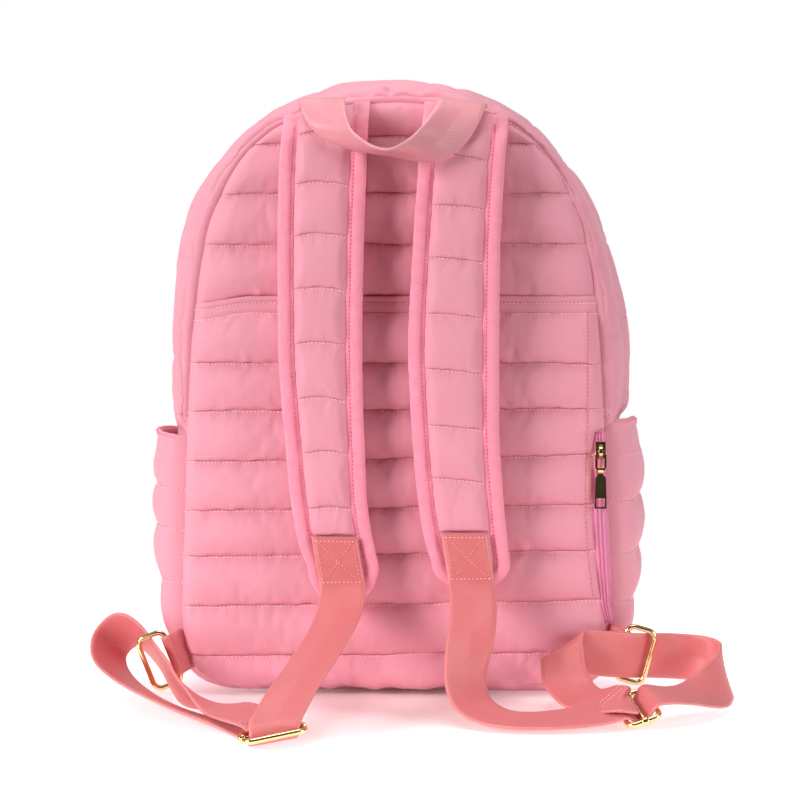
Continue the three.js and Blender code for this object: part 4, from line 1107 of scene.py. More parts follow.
for pocket in POCKETS:
    name, side, seams, seed = (pocket[key] for key in ("name", "side", "seams", "seed"))
    quilt = Quilt(seams)
    a = np.linspace(0, 1, POCKET_COLUMNS)[None, :]
    across = a * POCKET_WIDTH
    round_off = np.sin(np.pi * a).clip(0) ** 0.35
    z = quilt.z + quilt.wander(across, seed) * (quilt.z > POCKET_CALM)
    taper = np.clip((seams[-1] - quilt.z) / MOUTH_TAPER, 0, 1) ** 0.5
    raised = POCKET_PUFF * quilt.puff * round_off
    raised = raised + round_off * (quilt.gathers(across, seed + 1) + quilt.folds(across, seed + 2))
    outer = pocket_place(pocket, z, a, GAP + (CLOTH + raised * taper) * pocket_edge(a))
    sewn = np.broadcast_to(quilt.sewn | (taper < 1), z.shape).copy()
    sewn[:, :POCKET_GRIP] = True
    sewn[:, -POCKET_GRIP:] = True
    outer = puff_up(outer, sewn, PRESSURE, SPARE, SWELL)
    inner = pocket_place(pocket, z, a, 0.0)
    outwards = np.array((side * 0.3, -0.3, 0))
    quilt_stitches += seam_lines(outer, quilt, outwards)
    if pocket["topstitch"]:
        row = int(np.argmin(np.abs(quilt.z[:, 0] - pocket["topstitch"])))
        trim_stitches.append(outer[row, 1:-1] + outwards)
    piece = wall(f"pocket_{name}_quilted", outer, inner, SHELL, (across, quilt.z), quilt.away)
    finish_piece(piece, f"pocket_{name}", slot="shell")

    a = np.linspace(0, 1, RIM_ROWS)[:, None]
    angle = np.linspace(0, 2 * np.pi, RIM_SIDES + 1)[None, :-1]
    middle = seams[-1] - RIM_OVERLAP + POCKET_BINDING / 2
    tall = POCKET_BINDING / 2 + RIM_WAVE[0] * ripple(a * POCKET_WIDTH / RIM_WAVE[1], 0 * a, seed + 3)
    thick = RIM_THICK + RIM_LUMPS[0] * ripple(a * POCKET_WIDTH / RIM_LUMPS[1], 0 * a, seed + 4)
    slim = np.maximum(pocket_edge(a), RIM_END)
    out = (RIM_OUT + thick * np.cos(angle)) * slim
    rings = pocket_place(pocket, middle + tall * np.sin(angle), a, out)
    rim = sweep(f"pocket_rim_{name}", rings, SHELL)
    finish_piece(rim, f"pocket_binding_{name}", slot="trim")
    hot_stitches.append(pocket_place(pocket, middle + RIM_STITCH + 0 * a, a, 2 * RIM_OUT)[2:-2, 0])

# %% [markdown]
# ## Shoulder straps
# Each strap is a long pad, quilted across and bound round its edge. The pad's edges and depth come
# from a table of heights, because the straps bend and widen as they hang. Only the front face is
# simulated: the back face lies against the bag.

# %% Pads
PADS = [
    {
        "name": "left", "end_depth": 27.0, "patch_top": 117.0, "seed": 41.0, "arc": 2.3, "tilt": -0.4,
        "seams": [135, 173, 210, 248, 285, 322, 357, 391, 408],
        "rows": np.array([
            # height, left edge, right edge, depth
            (95, -58.7, -9.8, -98), (114, -65.7, -14, -98.5), (142, -70.5, -18, -99),
            (181, -74, -19.5, -100), (210, -76.5, -20.5, -100), (246, -78.5, -21, -100),
            (316, -79, -20, -98), (357, -78.5, -18.7, -95), (385, -77.5, -17.7, -89.5),
            (396, -77, -17.3, -84), (403, -77, -17, -75), (409, -77, -17, -66.5),
        ]),
    },
    {
        "name": "right", "end_depth": 17.5, "patch_top": 120.0, "seed": 51.0, "arc": 1.0, "tilt": -2.0,
        "seams": [155, 191, 230, 268, 306, 342, 374, 408],
        "rows": np.array([
            (97, 27.2, 80.7, -98), (120, 20.7, 78, -98.5), (154, 16, 75, -99), (188, 13.3, 73, -100),
            (210, 12, 72.8, -100), (245, 10.7, 72.8, -100), (312, 13.7, 73.3, -98), (330, 14.7, 74, -97),
            (374, 18, 76.5, -92), (390, 19.5, 78, -87), (403, 20.7, 78.5, -75), (409, 20.8, 78.5, -66.5),
        ]),
    },
]
PAD_GRID = 2.4
PAD_COLUMNS = 26
TIP_ROWS, PATCH_ROWS = 12, 8    # rows of the round tip and of the plain end above it
PAD_HALF = 25.0                 # half the width of a row, for its noise
PAD_CALM = (25.0, 15.0)         # rows stray less over these heights at the lower and the upper end
PAD_CALM_TOP = 402.0
PAD_SAG_TOP = 400.0
PAD_INSET = 10.5                # the pad's own edge, under the binding
PAD_EDGE = 1.2                  # thickness of that edge to each side
PAD_BACK = 2.2                  # the back face swells by this much more
PAD_PATCH = 4.0                 # thickness in front of the middle, at the plain end
PAD_SEAM = 3.2                  # at a row of quilting
PAD_FULL = 7.0                  # in the middle of a channel
BINDING_MIDDLE = 5.9            # the binding's middle, in from the strap's outer edge
BINDING_HALF = (6.0, 3.9)       # half its width and half its thickness
BINDING_SQUARE = 2.6            # how boxy the binding's section is
BINDING_SEAM = 2.8              # the binding is sewn down this far inside its middle
BINDING_DIP = 1.1               # and dips there by this much
BINDING_LUMPS = (0.06, 5.0)     # share and spacing of the lumps along it
BINDING_ROWS, BINDING_TURN = 100, 42   # points down each side and round the tip
ARCH_FOLLOW = 0.6               # share of the round top that a strap's upper end follows
ARCH_FROM = 370.0               # above this height


def under_arch(x, z):
    """Lowers the outer corners of a strap's top, where the seam above it comes down."""
    return z - ARCH_FOLLOW * (TOP_Z - high_edge(np.abs(x))) * smooth_step(z, ARCH_FROM, TOP_Z)


def superellipse(half_across, half_through, power, sides=30):
    """Points round a rounded box."""
    angle = 2 * np.pi * np.arange(sides) / sides
    c, s = np.cos(angle), np.sin(angle)
    across = half_across * np.sign(c) * np.abs(c) ** (2 / power)
    return across, half_through * np.sign(s) * np.abs(s) ** (2 / power)


for pad in PADS:
    low = curve(pad["rows"][:, 0], pad["rows"][:, 1])
    high = curve(pad["rows"][:, 0], pad["rows"][:, 2])
    depth = curve(pad["rows"][:, 0], pad["rows"][:, 3])
    end_z, top_z = pad["rows"][0, 0], pad["rows"][-1, 0]
    seed = pad["seed"]
    quilt = Quilt([pad["patch_top"], *pad["seams"]], PAD_GRID)
    s = np.linspace(-1, 1, PAD_COLUMNS)[None, :]
    tip = np.concatenate([np.linspace(1, 0, TIP_ROWS) ** 0.8, np.zeros(PATCH_ROWS)])[:, None]
    patch_z = np.linspace(end_z, pad["patch_top"], PATCH_ROWS + 1)[:-1]
    tip_z = np.concatenate([np.full(TIP_ROWS, end_z), patch_z])[:, None]
    plain_fade = 1 - tip**4
    drop = tip * (pad["end_depth"] - PAD_INSET) * np.sqrt(1 - s * s)
    calm = np.clip((quilt.z - pad["patch_top"]) / PAD_CALM[0], 0, 1)
    calm = calm * np.clip((PAD_CALM_TOP - quilt.z) / PAD_CALM[1], 0, 1)
    lean = pad["arc"] * (1 - s * s) + pad["tilt"] * s
    across = s * PAD_HALF
    rows = quilt.z + (quilt.wander(across, seed) + lean) * calm - quilt.sag() * (quilt.z < PAD_SAG_TOP)
    z = np.concatenate([tip_z + 0 * s, rows])
    middle = (low(z) + high(z)) / 2
    half = (high(z) - low(z)) / 2 - PAD_INSET
    crown = 1 - np.abs(s) ** 6
    puff = quilt.puff * (PAD_FULL - PAD_SEAM) + quilt.gathers(across, seed + 1)
    puff = puff + 0.5 * quilt.folds(across, seed + 2)
    plain = (PAD_PATCH - PAD_EDGE) * crown * plain_fade
    thick = PAD_EDGE + np.concatenate([plain, (PAD_SEAM - PAD_EDGE + puff) * crown])
    x = middle + s * half
    z[: len(tip)] -= drop
    front_face = np.stack([x, depth(np.maximum(z, end_z)) - thick, under_arch(x, z)], axis=2)
    sewn = np.broadcast_to(quilt.sewn, (len(quilt.z), s.shape[1])).copy()
    sewn[:, [0, -1]] = True
    front_face[len(tip):] = puff_up(front_face[len(tip):], sewn, PRESSURE, SPARE, SWELL)
    back_thick = PAD_EDGE + PAD_BACK * crown * np.concatenate([plain_fade, np.ones_like(quilt.z)])
    back_face = np.stack([x, depth(np.maximum(z, end_z)) + back_thick, under_arch(x, z)], axis=2)
    quilt_stitches += seam_lines(front_face[len(tip):], quilt, STITCH_LIFT)
    away = np.concatenate([np.full_like(tip, FAR_FROM_SEAM), quilt.away])
    piece = wall(f"strap_pad_{pad['name']}_quilted", front_face, back_face, SHELL, (x, z), away)
    finish_piece(piece, f"shoulder_pad_{pad['name']}", slot="shell")

    heights = np.linspace(top_z, end_z, BINDING_ROWS)
    angle = np.pi * (1 + np.linspace(0, 1, BINDING_TURN)[1:-1])

    def edge_line(inset):
        """A line round the pad, this far in from its outer edge."""
        centre = (low(end_z) + high(end_z)) / 2
        reach = (high(end_z) - low(end_z)) / 2 - inset
        left, right = low(heights) + inset, high(heights) - inset
        down = np.stack([left, depth(heights), under_arch(left, heights)], axis=1)
        tip_x = centre + reach * np.cos(angle)
        tip_z = end_z + (pad["end_depth"] - inset) * np.sin(angle)
        turn = np.stack([tip_x, np.full_like(tip_x, depth(end_z)), tip_z], axis=1)
        up = np.stack([right, depth(heights), under_arch(right, heights)], axis=1)[::-1]
        return np.concatenate([down, turn, up])

    path = edge_line(BINDING_MIDDLE)
    along = np.gradient(path, axis=0)
    outward = np.stack([along[:, 2], np.zeros(len(path)), -along[:, 0]], axis=1)
    outward /= np.linalg.norm(outward, axis=1, keepdims=True)
    across, through = superellipse(*BINDING_HALF, BINDING_SQUARE)
    groove = np.exp(-((across + BINDING_SEAM) ** 2)) + 0.5 / (1 + np.exp(3 * (across + BINDING_SEAM)))
    through = np.where(through < 0, through + BINDING_DIP * groove, through)
    run = np.cumsum(np.linalg.norm(along, axis=1))
    swell = 1 + BINDING_LUMPS[0] * ripple(run / BINDING_LUMPS[1], 0 * run, seed + 5)
    rings = path[:, None] + outward[:, None] * across[None, :, None] * swell[:, None, None]
    rings[:, :, 1] += through[None, :] * swell[:, None]
    piece = sweep(f"strap_binding_{pad['name']}", rings, TRIM)
    finish_piece(piece, f"pad_binding_{pad['name']}", slot="trim")
    seam_depth = BINDING_HALF[1] - BINDING_DIP + 0.1
    hot_stitches.append(edge_line(BINDING_MIDDLE + BINDING_SEAM)[3:-3] - np.array((0, seam_depth, 0)))

# %% [markdown]
# ## Webbing
# A flat strap is modelled directly: stations along its middle, each with the direction of its width,
# and a smooth curve through them. The carry handle turns edge-on where it hangs, and each strap's
# tail runs through its slider, out round the ring and back to a sewn end. Across a strap the width
# stands square to the middle line. It doesn't at a slanted end or in the right strap's diagonal fold,
# so there the stations keep just the direction that they give.

# %% Band helpers
BAND_COLUMNS = 11
STITCH_PROUD = 0.35             # stitches stand out of a band by this much
MIDDLE_ROUNDS = 8               # a strap's middle line is evened out this often
WIDTH_ROUNDS = 60               # and the direction of its width this often


def through_stations(points, per=8):
    """A centripetal curve through points, with the same pace as the stations."""
    points = np.asarray(points, float)
    padded = np.concatenate([[2 * points[0] - points[1]], points, [2 * points[-1] - points[-2]]])
    made = []
    for p0, p1, p2, p3 in zip(padded, padded[1:], padded[2:], padded[3:]):
        d0, d1, d2 = (max(1e-4, np.linalg.norm(b - a) ** 0.5) for a, b in ((p0, p1), (p1, p2), (p2, p3)))
        lean_in = d1 * ((p1 - p0) / d0 - (p2 - p0) / (d0 + d1) + (p2 - p1) / d1)
        lean_out = d1 * ((p2 - p1) / d1 - (p3 - p1) / (d1 + d2) + (p3 - p2) / d2)
        t = np.arange(per)[:, None] / per
        a = 2 * p1 - 2 * p2 + lean_in + lean_out
        b = -3 * p1 + 3 * p2 - 2 * lean_in - lean_out
        made.append(a * t**3 + b * t**2 + lean_in * t + p1)
    return np.concatenate([*made, points[-1:]])


class Band:
    """A flat strap: its middle line, the directions across and out of it, and its length."""

    def __init__(self, middles, across, width=WEBBING_WIDTH, thick=WEBBING_THICK, square=1.0):
        """Where square is 0, a row keeps its own direction, as at a fold or a slanted end."""
        self.middles, self.width, self.thick = middles, width, thick
        tangent = np.gradient(middles, axis=0)
        tangent /= np.linalg.norm(tangent, axis=1, keepdims=True)
        across = across - tangent * (square * np.einsum("ij,ij->i", across, tangent))[:, None]
        self.across = across / np.linalg.norm(across, axis=1, keepdims=True)
        normal = np.cross(tangent, self.across)
        self.normal = normal / np.linalg.norm(normal, axis=1, keepdims=True)
        moves = np.linalg.norm(np.diff(middles, axis=0), axis=1)
        self.along = np.concatenate([[0], np.cumsum(moves)])

    def mesh(self, name, material):
        """The strap as a closed mesh whose UV map counts millimetres."""
        flat = np.linspace(-1, 1, BAND_COLUMNS) * (self.width / 2 - self.thick / 3)
        face = np.ones(BAND_COLUMNS)
        rim = self.width / 2
        u = np.concatenate([flat, [rim], flat[::-1], [-rim]])
        out = self.thick / 2 * np.concatenate([face, [0], -face, [0]])
        wide = self.across[:, None] * u[None, :, None]
        rings = self.middles[:, None] + wide + self.normal[:, None] * out[None, :, None]
        uv = np.stack(np.broadcast_arrays(u[None, :] + rim, self.along[:, None]), axis=-1)
        return sweep(name, rings, material, uv=uv.reshape(-1, 2))

    def spots(self, places, lift):
        """Points on the outer face from pairs of (distance along, distance across)."""
        places = np.asarray(places, float)

        def at(table):
            return np.stack([np.interp(places[:, 0], self.along, table[:, i]) for i in range(3)], axis=1)

        out = at(self.normal) * (self.thick / 2 + lift)
        return at(self.middles) + at(self.across) * places[:, 1:2] + out

    def line(self, start, end, lift=STITCH_PROUD, count=24):
        """A straight row of stitches between two such pairs."""
        share = np.linspace(0, 1, count)[:, None]
        return self.spots(np.array(start) + (np.array(end) - np.array(start)) * share, lift)


def relaxed(rows, rounds):
    """Evens out a row of points, with its ends held."""
    rows = rows.copy()
    for _ in range(rounds):
        rows[1:-1] = 0.5 * rows[1:-1] + 0.25 * (rows[:-2] + rows[2:])
    return rows


def strap(stations, kept):
    """A strap through its stations. At the kept ones the width has just the direction given there."""
    stations = np.asarray(stations, float)
    number = np.arange(len(stations))
    middles = relaxed(through_stations(stations[:, :3]), MIDDLE_ROUNDS)
    across = relaxed(through_stations(stations[:, 3:]), WIDTH_ROUNDS)
    square = np.interp(np.linspace(0, number[-1], len(middles)), number, ~np.isin(number, list(kept)))
    return Band(middles, across, square=square)


print("bands: helpers ready")

# %% Handle and webbing
HANDLE = [
    # x, y, z of the middle, and the direction of the width
    (-51, -71.5, 410.5, 1, 0, 0), (-50.5, -75, 416.5, 1, -0.05, 0), (-49.6, -84, 416.5, 1, -0.12, 0.03),
    (-46.2, -98, 404.5, 0.93, -0.34, 0.1), (-40.6, -109, 395.4, 0.72, -0.67, 0.17),
    (-34.8, -114, 389.6, 0.55, -0.81, 0.2), (-22, -117, 382.5, 0.4, -0.91, 0.07),
    (-7.6, -118, 379, 0.18, -0.98, 0), (5.3, -117.5, 378.2, -0.1, -0.98, 0.1),
    (19.2, -114, 379.6, -0.39, -0.76, 0.52), (32.7, -108, 388.4, -0.67, -0.44, 0.6),
    (41.5, -100, 400.4, -0.88, -0.08, 0.45), (46.8, -91, 411.5, -0.96, 0, 0.28),
    (48.2, -82, 415.5, -1, 0, 0.08), (48.2, -71.5, 411.5, -1, 0, 0),
]
WEBBING_LEFT = [
    (-40, -104.6, 116, 1, 0, -0.02), (-37, -104.8, 97, 1, 0, 0), (-34, -106, 80, 1, -0.03, 0.03),
    (-36, -130, 64, 0.99, -0.08, 0.1), (-47, -176, 46, 0.99, -0.02, 0.11),
    (-58, -217, 32, 0.99, 0.08, 0.1), (-64, -240, 22, 0.96, 0.25, 0.12),
    (-67, -255.5, 15, 0.93, 0.34, 0.14), (-66.6, -256.9, 9.5, 0.93, 0.34, 0.14),
    (-67.6, -251.5, 4.6, 0.93, 0.34, 0.12), (-72.6, -238, 4.8, 0.93, 0.34, 0.1),
    (-85, -222, 5.5, 0.86, 0.5, 0.03), (-103, -207, 7, 0.76, 0.62, -0.12),
    (-125, -187, 8, 0.74, 0.6, -0.28), (-147, -161, 9.5, 0.76, 0.53, -0.38),
    (-169, -126, 10.5, 0.8, 0.45, -0.4), (-190, -80, 11, 0.86, 0.3, -0.4),
    (-203, -48, 13, 0.85, 0.33, -0.4), (-210, -28, 18, 0.78, 0.4, -0.48), (-211, -18, 25, 0.7, 0.4, -0.6),
    (-206, -15, 32, 0.62, 0.35, -0.7), (-198, -19, 37, 0.5, 0.25, -0.83),
    (-188, -30, 35.5, 0.4, 0.2, -0.9), (-175, -52, 29.5, 0.37, 0.1, -0.92),
    (-165, -79, 25, 0.37, 0, -0.93), (-156, -104, 21, 0.2, 0.3, -0.9), (-141, -146, 18, -0.1, 0.8, -0.6),
    (-122, -173, 16, -0.05, 0.95, -0.3), (-107, -193, 14.5, 0.1, 0.97, 0.15),
    (-92, -214, 15, 0.45, 0.88, 0.15), (-75, -238, 15, 0.93, 0.34, 0.14),
    (-70, -250.3, 14, 0.93, 0.34, 0.14),
]
WEBBING_RIGHT = [
    (49, -104.6, 119, 1, 0, 0), (51.5, -104.8, 103, 1, 0, 0), (54.5, -106, 84, 0.99, 0.1, 0),
    (56, -121, 70, 0.98, 0.18, 0.05), (54.8, -138, 55, 0.96, 0.25, 0.06), (52, -147, 40, 0.9, 0.42, 0.08),
    (51, -154, 25, 0.76, 0.63, 0.12), (55.5, -166, 13.5, 0.64, 0.75, 0.15),
    (67, -179, 8, 0.54, 0.83, 0.13), (82, -187, 6.5, 0.4, 0.9, 0.12), (102, -190, 7, 0.22, 0.96, 0.15),
    (125, -187, 8.5, 0.05, 0.97, 0.22), (142, -181, 10.5, -0.12, 0.96, 0.24),
    (152.6, -175, 12.6, -0.25, 0.93, 0.27), (158.8, -172.2, 10.4, -0.25, 0.93, 0.27),
    (164.4, -169.7, 8.3, -0.25, 0.93, 0.27), (168.2, -169.8, 13.7, -0.25, 0.93, 0.27),
    (172.1, -169.7, 19.6, -0.25, 0.93, 0.27), (178, -167, 20.5, -0.28, 0.93, 0.22),
    (190, -158, 18, -0.4, 0.9, 0.1), (202, -145, 15, -0.44, 0.85, 0.2),
    (213, -130, 14.5, -0.42, 0.72, 0.5), (222, -114, 17, -0.34, 0.5, 0.78),
    (228.5, -96, 21, -0.26, 0.2, 0.94), (228, -80, 25, -0.2, 0.08, 0.97),
    (219, -70, 27, -0.02, 0.08, 0.99), (205, -66, 28, 0.12, 0.08, 0.98),
    (186, -69.5, 29.5, 0.22, 0.05, 0.97), (168, -79.5, 31, 0.27, 0, 0.96),
    (154, -84.5, 32.5, 0.15, 0, 0.98), (143, -86.5, 33.7, 0.1, 0.02, 0.99),
    (131, -89.5, 35.5, 0.3, 0.05, 0.95), (120, -92.5, 40, 0.84, 0.2, 0.5),
    (116.5, -98, 38, 0.9, 0.12, 0.4), (116.8, -103.5, 31, 0.94, 0.06, 0.34),
    (117.5, -110, 24, 0.94, 0.12, 0.3), (121.8, -122, 16.5, 0.86, 0.42, 0.27),
    (128.5, -138, 12.5, 0.72, 0.66, 0.22), (136, -152, 14, 0.5, 0.8, 0.3),
    (144, -164, 16.5, 0.15, 0.95, 0.28), (153.5, -174.5, 17.2, -0.2, 0.94, 0.27),
    (160.6, -173.2, 15.8, -0.25, 0.93, 0.27),
]
HANDLE_KEPT = range(len(HANDLE))
LEFT_KEPT = [0, 1, 2]           # the slanted end
RIGHT_KEPT = [*LEFT_KEPT, 32, 33, 34, 35]   # and the diagonal fold
BOX_TOP, BOX_BOTTOM, BOX_SIDE = 3.0, 32.0, 12.5   # the sewn box on the pad, from the webbing's start
BOX_LINES = ((0, 2), (1, 3), (1, 2), (0, 3))      # its cross and its sides, between its corners
BOX_PROUD = 0.25
SEWN_END = (16.0, 20.5)         # rows of stitches, measured back from the webbing's end
SEWN_HALF = 14.0                # half the length of such a row
PAD_LEFT, PAD_RIGHT = "strap_pad_left_quilted", "strap_pad_right_quilted"
STRAPS = [
    # piece, solid, stations, kept ones, finish, how it is held, what it touches
    ("handle_webbing", "handle", HANDLE, HANDLE_KEPT, HANDLE_WEBBING, "hung", "gusset_strip_back"),
    ("strap_webbing_left", "webbing_left", WEBBING_LEFT, LEFT_KEPT, WEBBING, "laid", PAD_LEFT),
    ("strap_webbing_right", "webbing_right", WEBBING_RIGHT, RIGHT_KEPT, WEBBING, "laid", PAD_RIGHT),
]
for name, node, stations, kept, finish, held, touches in STRAPS:
    band = strap(stations, kept)
    piece = finish_piece(band.mesh(name, finish), node, slot="webbing")
    flat_size = (band.width * MM, band.along[-1] * MM)
    print(name, "is", round(band.along[-1]), "mm long")
    if held == "laid":
        upper = [(BOX_TOP, -BOX_SIDE), (BOX_TOP, BOX_SIDE)]
        corners = [*upper, (BOX_BOTTOM, BOX_SIDE), (BOX_BOTTOM, -BOX_SIDE)]
        trim_stitches += [band.line(corners[0], corners[1]), band.line(corners[3], corners[2])]
        for a, b in BOX_LINES:
            tone_stitches.append(band.line(corners[a], corners[b], BOX_PROUD))
        for back in SEWN_END:
            for lift in (STITCH_PROUD, -band.thick - STITCH_PROUD):
                row = band.along[-1] - back
                trim_stitches.append(band.line((row, -SEWN_HALF), (row, SEWN_HALF), lift))

# %% [markdown]
# ## Gold hardware
# Rings and sliders are bent from round wire, so each is a circle swept round a rounded rectangle. The
# small zip parts keep the shape of their solids, with softened edges that catch the light.

# %% Wire helpers
WIRE = 3.8


def rounded_rectangle(long, short, radius, per=7):
    """Points round a rectangle with round corners, as pairs."""
    made = []
    for quarter, (a, b) in enumerate(((1, 1), (-1, 1), (-1, -1), (1, -1))):
        angle = np.pi / 2 * (quarter + np.linspace(0, 1, per))
        x = a * (long / 2 - radius) + radius * np.cos(angle)
        y = b * (short / 2 - radius) + radius * np.sin(angle)
        made.append(np.stack([x, y], axis=1))
    return np.concatenate(made)


def basis(long, short):
    """Three directions at right angles: the long one, the one nearest the short one, and across both."""
    x = np.array(long, float) / np.linalg.norm(long)
    z = np.cross(x, short)
    z /= np.linalg.norm(z)
    return x, np.cross(z, x), z


def tube(points, radius, closed, sides=14):
    """Rings of points round a path."""
    points = np.asarray(points, float)
    ahead = np.roll(points, -1, axis=0) if closed else np.concatenate([points[1:], points[-1:]])
    behind = np.roll(points, 1, axis=0) if closed else np.concatenate([points[:1], points[:-1]])
    tangent = ahead - behind
    tangent /= np.linalg.norm(tangent, axis=1, keepdims=True)
    flat = np.linalg.svd(points - points.mean(axis=0))[2][2]
    side = np.cross(tangent, flat)
    side /= np.linalg.norm(side, axis=1, keepdims=True)
    up = np.cross(side, tangent)
    angle = (2 * np.pi * np.arange(sides) / sides)[None, :, None]
    return points[:, None] + radius * (np.cos(angle) * side[:, None] + np.sin(angle) * up[:, None])


def wire_loop(name, inner, centre, long, short, wire, corner):
    """A rectangle of round wire."""
    x, y, _ = basis(long, short)
    outline = rounded_rectangle(inner[0] + wire, inner[1] + wire, corner + wire / 2)
    points = np.array(centre) + outline[:, :1] * x + outline[:, 1:] * y
    return sweep(name, tube(points, wire / 2, True), GOLD, closed=True)


def merge(name, pieces):
    """Joins several meshes into one piece."""
    with bpy.context.temp_override(active_object=pieces[0], selected_editable_objects=pieces):
        bpy.ops.object.join()
    pieces[0].name = name
    return pieces[0]


print("wire:", WIRE, "mm")

# %% Rings and their tabs
RING_INNER = (34.0, 16.5)
RINGS = [
    # name, middle, long side, short side, direction of the bag along the short side
    ("left", (-165, -79, 25), (0.37, 0, -0.93), (0.93, 0, 0.37), 1),
    ("right", (168, -79, 31.5), (0.27, 0, 0.96), (0.96, 0, -0.27), -1),
]
RING_CORNER = 4.0
TAB_WIDTH = 29.0
TAB_THICK = 1.3
TAB_TURN = (76, -256)           # the tab goes round the ring's bar between these angles
TAB_ROWS, TAB_LEG = 40, 9       # points round the bar and down each leg
TAB_HALF_GAP = 0.05             # between the two legs
TAB_SEAM = (1.0, 1.5)           # the tab ends this far in from the bag's edge and in front of its seam
for name, centre, long, short, bag_side in RINGS:
    ring = wire_loop(f"wire_ring_{name}", RING_INNER, centre, long, short, WIRE, RING_CORNER)
    finish_piece(ring, f"ring_{name}", slot="gold_metal")

    towards_bag = np.array(short) / np.linalg.norm(short) * bag_side
    bar = np.array(centre) + towards_bag * (RING_INNER[1] + WIRE) / 2
    seam = np.array((-bag_side * (half_at(bar[2]) - TAB_SEAM[0]), BACK_Y - TAB_SEAM[1], bar[2]))
    _, y, x = basis(long, seam - bar)
    tongue = (seam - bar) @ y
    radius = WIRE / 2 + GAP + TAB_THICK / 2
    angle = np.radians(np.linspace(*TAB_TURN, TAB_ROWS))
    loop = np.stack([radius * np.cos(angle), radius * np.sin(angle)], axis=1)
    down = np.linspace(tongue, radius + 1, TAB_LEG)
    leg = np.stack([np.full(TAB_LEG, TAB_THICK / 2 + TAB_HALF_GAP), down], axis=1)
    outline = np.concatenate([leg, loop, leg[::-1] * (-1, 1)])
    middles = bar + outline[:, :1] * x + outline[:, 1:] * y
    band = Band(middles, np.tile(np.array(long, float), (len(middles), 1)), TAB_WIDTH, TAB_THICK)
    tab = finish_piece(band.mesh(f"ring_fold_{name}", WEBBING), f"ring_tab_{name}", slot="webbing")

# %% Strap sliders
SLIDER_INNER = (35.0, 18.0)
SLIDER_CORNER = 3.0
BAR_SLIM = 0.3                  # the bar is thinner than the frame's wire by this radius
COLLAR = (3.0, 5.0)             # radius and length of the collars that hold the bar
ROD_SOFT = 0.25                 # a rod's ends are rounded over this share of its radius
ROD_END = 0.8                   # and end with this share of it
SLIDERS = [
    # name, middle, long side, short side
    ("left", (-68.5, -251.5, 10), (0.93, 0.34, 0.14), (-0.34, 0.94, 0)),
    ("right", (163.5, -171, 12), (-0.25, 0.93, 0.27), (0.91, 0.24, 0.33)),
]


def round_rod(name, start, end, radius):
    """A straight rod with slightly rounded ends."""
    start, end = np.array(start, float), np.array(end, float)
    direction = (end - start) / np.linalg.norm(end - start)
    soft = direction * ROD_SOFT * radius
    rings = tube([start, start + soft, end - soft, end], radius, False)
    for ring, point in ((0, start), (-1, end)):
        rings[ring] = point + (rings[ring] - point) * ROD_END
    return sweep(name, rings, GOLD)


for name, centre, long, short in SLIDERS:
    x, y, _ = basis(long, short)
    centre = np.array(centre, float)
    frame_loop = wire_loop(f"slider_frame_{name}", SLIDER_INNER, centre, long, short, WIRE, SLIDER_CORNER)
    reach = (SLIDER_INNER[0] + WIRE) / 2
    parts = [frame_loop, round_rod("bar", centre - reach * x, centre + reach * x, WIRE / 2 - BAR_SLIM)]
    half_collar = COLLAR[1] / 2 * y
    for end in (-1, 1):
        middle = centre + end * reach * x
        parts.append(round_rod("collar", middle - half_collar, middle + half_collar, COLLAR[0]))
    slider = merge(f"wire_slider_{name}", parts)
    finish_piece(slider, f"strap_slider_{name}", slot="gold_metal")

# %% [markdown]
# ## Zips
# Both zips are coil zips, sewn in so that only the tape and the ridges of the coils show. Each tape
# is a wall with soft ridges along it. The sliders and the pull keep their solids' shapes, as copies
# with a Bevel modifier, and the pull rides on the body that turns.

# %% Zip parts
TAPE = 1.2                      # thickness of the main zip's tape
MAIN_TAPE = (0.424, 0.536)      # shares of the depth that it covers
MAIN_COLUMNS = 25
SIDE_ROWS, SIDE_COLUMNS = 70, 33
SIDE_ENDS = (3.0, 2.0)          # the side zip's tape starts and ends this far above its line's ends
SIDE_PROUD = 3.0                # the side zip lies level with the sleeve beside it
SIDE_TUCK = 1.5                 # and runs this far under its edges
SIDE_NARROWEST = 8.0
COIL_RIDGE = 1.3                # height of a ridge
RIDGE_WIDTH = 0.07              # and its half width, as a share of the tape
SIDE_RIDGES = (0.3, 0.52, 0.74)
MAIN_RIDGES = (0.4, 0.6)
BEVEL_ANGLE = 35                # sharper edges of the small solids are softened
SMALL_PARTS = [
    # solid, piece, width of the softened edges, body
    ("side_zip_slider", "side_slider_body", 0.5, BAG),
    ("main_zip_slider", "main_slider_body", 0.8, BAG),
    ("pull_tab", "pull_plate", 0.7, PULL),
    ("pull_link", "pull_wire", 0.4, PULL),
]


def ridge_rows(share, middles):
    return sum(np.exp(-(((share - middle) / RIDGE_WIDTH) ** 2)) for middle in middles)


def tape_base(x, z):
    return back_base(x / half_at(z), z) - CLOTH - GAP


z = np.linspace(ZIP_LOW + SIDE_ENDS[0], ZIP_HIGH + SIDE_ENDS[1], SIDE_ROWS)[:, None]
share = np.linspace(0, 1, SIDE_COLUMNS)[None, :]
left = zip_left(z) - SIDE_TUCK
right = np.maximum(zip_right(z) + SIDE_TUCK, left + SIDE_NARROWEST)
x = left + (right - left) * share
proud = SIDE_PROUD + COIL_RIDGE * ridge_rows(share, SIDE_RIDGES)
outer = np.stack([x, tape_base(x, z) - proud, z + 0 * x], axis=2)
inner = np.stack([x, tape_base(x, z) + 0 * x, z + 0 * x], axis=2)
finish_piece(wall("side_zip_tape", outer, inner, ZIP_TAPE), "side_zip", slot="zip_tape")

